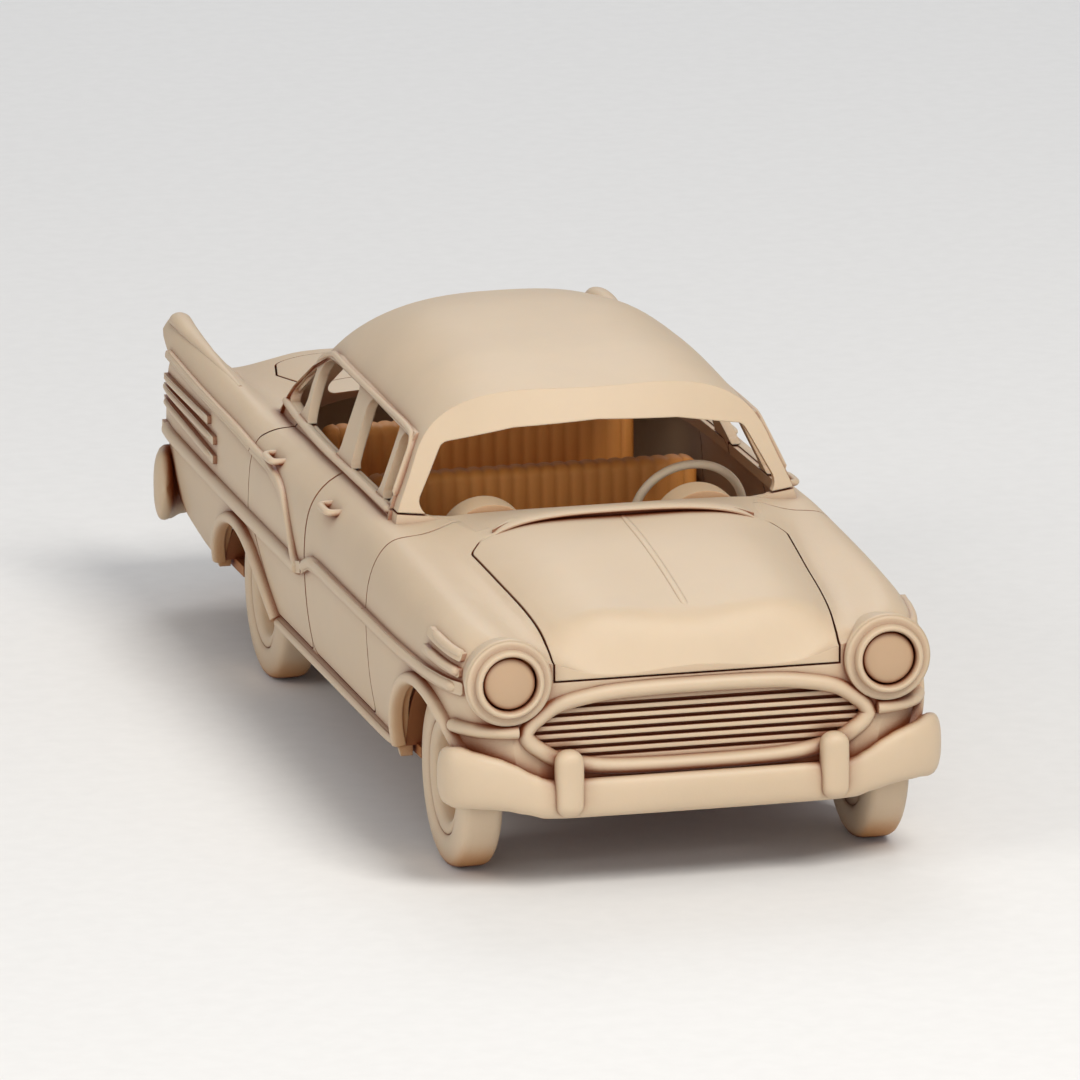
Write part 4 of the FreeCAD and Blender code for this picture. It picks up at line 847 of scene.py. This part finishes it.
def well_edge(axle_y, centre_y, centre_z, radius, low_z):
    """Points (y, z) round a wheel, on the arch or on a circle clear of the tyre, whichever is further out."""
    edge = []
    off_y = axle_y - centre_y
    off_z = AXLE_Z - centre_z
    for k in range(WELL_STATIONS):
        turn = math.radians(WELL_START_DEG + WELL_TURN_DEG * k / (WELL_STATIONS - 1))
        c = -math.cos(turn)
        s = math.sin(turn)
        half_b = off_y * c + off_z * s
        inside = half_b * half_b - off_y * off_y - off_z * off_z + radius * radius
        reach = max(-half_b + math.sqrt(max(inside, 0)), CLEAR_OF_TYRE)
        y = axle_y + reach * c
        z = AXLE_Z + reach * s
        if z >= low_z:
            edge.append((y, z))
    return edge


# The liners and walls take the well finish, whose dark colour is painted shade
for place, centre_y, centre_z, radius in WELL_ARCHES:
    axle_y = AXLES[place]
    for side, sign in SIDES:
        points = []
        edge = well_edge(axle_y, centre_y, centre_z, radius, LINER_LOW_Z)
        for y, z in edge:
            out = Vector((0, y - axle_y, z - AXLE_Z)).normalized()
            points += [Vector((sign * x, y, z)) + out * r
                       for x, r in ((LINER_OUTER_X, 0.0), (LINER_OUTER_X, LINER_THICK),
                                    (LINER_INNER_X, LINER_THICK), (LINER_INNER_X, 0.0))]
        add_piece(f"arch_liner_{place}_{side}", points, rings_to_faces(len(edge), 4), "well")
        edge = well_edge(axle_y, centre_y, centre_z, radius, WALL_LOW_Z)
        count = len(edge)
        points = [Vector((sign * x, y, z)) for x in WALL_X for y, z in edge]
        faces = [tuple(range(count)), tuple(count + k for k in reversed(range(count)))]
        faces += [(k, (k + 1) % count, count + (k + 1) % count, count + k) for k in range(count)]
        add_piece(f"well_wall_{place}_{side}", points, faces, "well")

# Floor and studio light, in metres
FLOOR_SIZE = 6.0
FLOOR_SPECK_SCALE = 300.0
FLOOR_TONES = [(0.3, (0.80, 0.79, 0.77)), (0.7, (0.82, 0.81, 0.79))]

bpy.ops.mesh.primitive_plane_add(size=FLOOR_SIZE, location=(0, 0, 0))
floor = bpy.context.object
floor.name = "floor"
floor_graph = Graph("floor")
floor_tone = floor_graph.ramp(floor_graph.noise(FLOOR_SPECK_SCALE, 2.0), FLOOR_TONES)
floor_graph.join(floor_tone, floor_graph.shader.inputs["Base Color"])
floor_graph.shader.inputs["Roughness"].default_value = 0.9
floor_graph.shader.inputs["Specular IOR Level"].default_value = 0.1
floor.data.materials.append(floor_graph.material)

world = bpy.data.worlds.new("studio")
bpy.context.scene.world = world
world.use_nodes = True
background = world.node_tree.nodes["Background"]
background.inputs["Color"].default_value = (0.90, 0.93, 1.0, 1.0)
background.inputs["Strength"].default_value = 0.36


def soft_lamp(name, place, aim_at, wide, energy, colour):
    lamp = bpy.data.lights.new(name, "AREA")
    lamp.shape = "SQUARE"
    lamp.size = wide
    lamp.energy = energy
    lamp.color = colour
    made = bpy.data.objects.new(name, lamp)
    bpy.context.collection.objects.link(made)
    made.location = place
    made.rotation_euler = (Vector(aim_at) - Vector(place)).to_track_quat("-Z", "Y").to_euler()


soft_lamp("key", (0.25, -0.75, 0.95), (0, -0.02, 0.03), wide=0.45, energy=9.6, colour=(1.0, 0.97, 0.92))
soft_lamp("fill", (-0.95, -0.35, 0.55), (0, 0, 0.03), wide=0.6, energy=3.2, colour=(1.0, 0.96, 0.90))
soft_lamp("front", (-0.30, -1.15, 0.30), (0, 0, 0.04), wide=0.5, energy=2.4, colour=(1.0, 0.95, 0.88))
soft_lamp("back", (0.2, 0.9, 0.9), (0, 0, 0.03), wide=0.6, energy=3.5, colour=(0.95, 0.97, 1.0))

bpy.context.scene.view_settings.view_transform = "Standard"
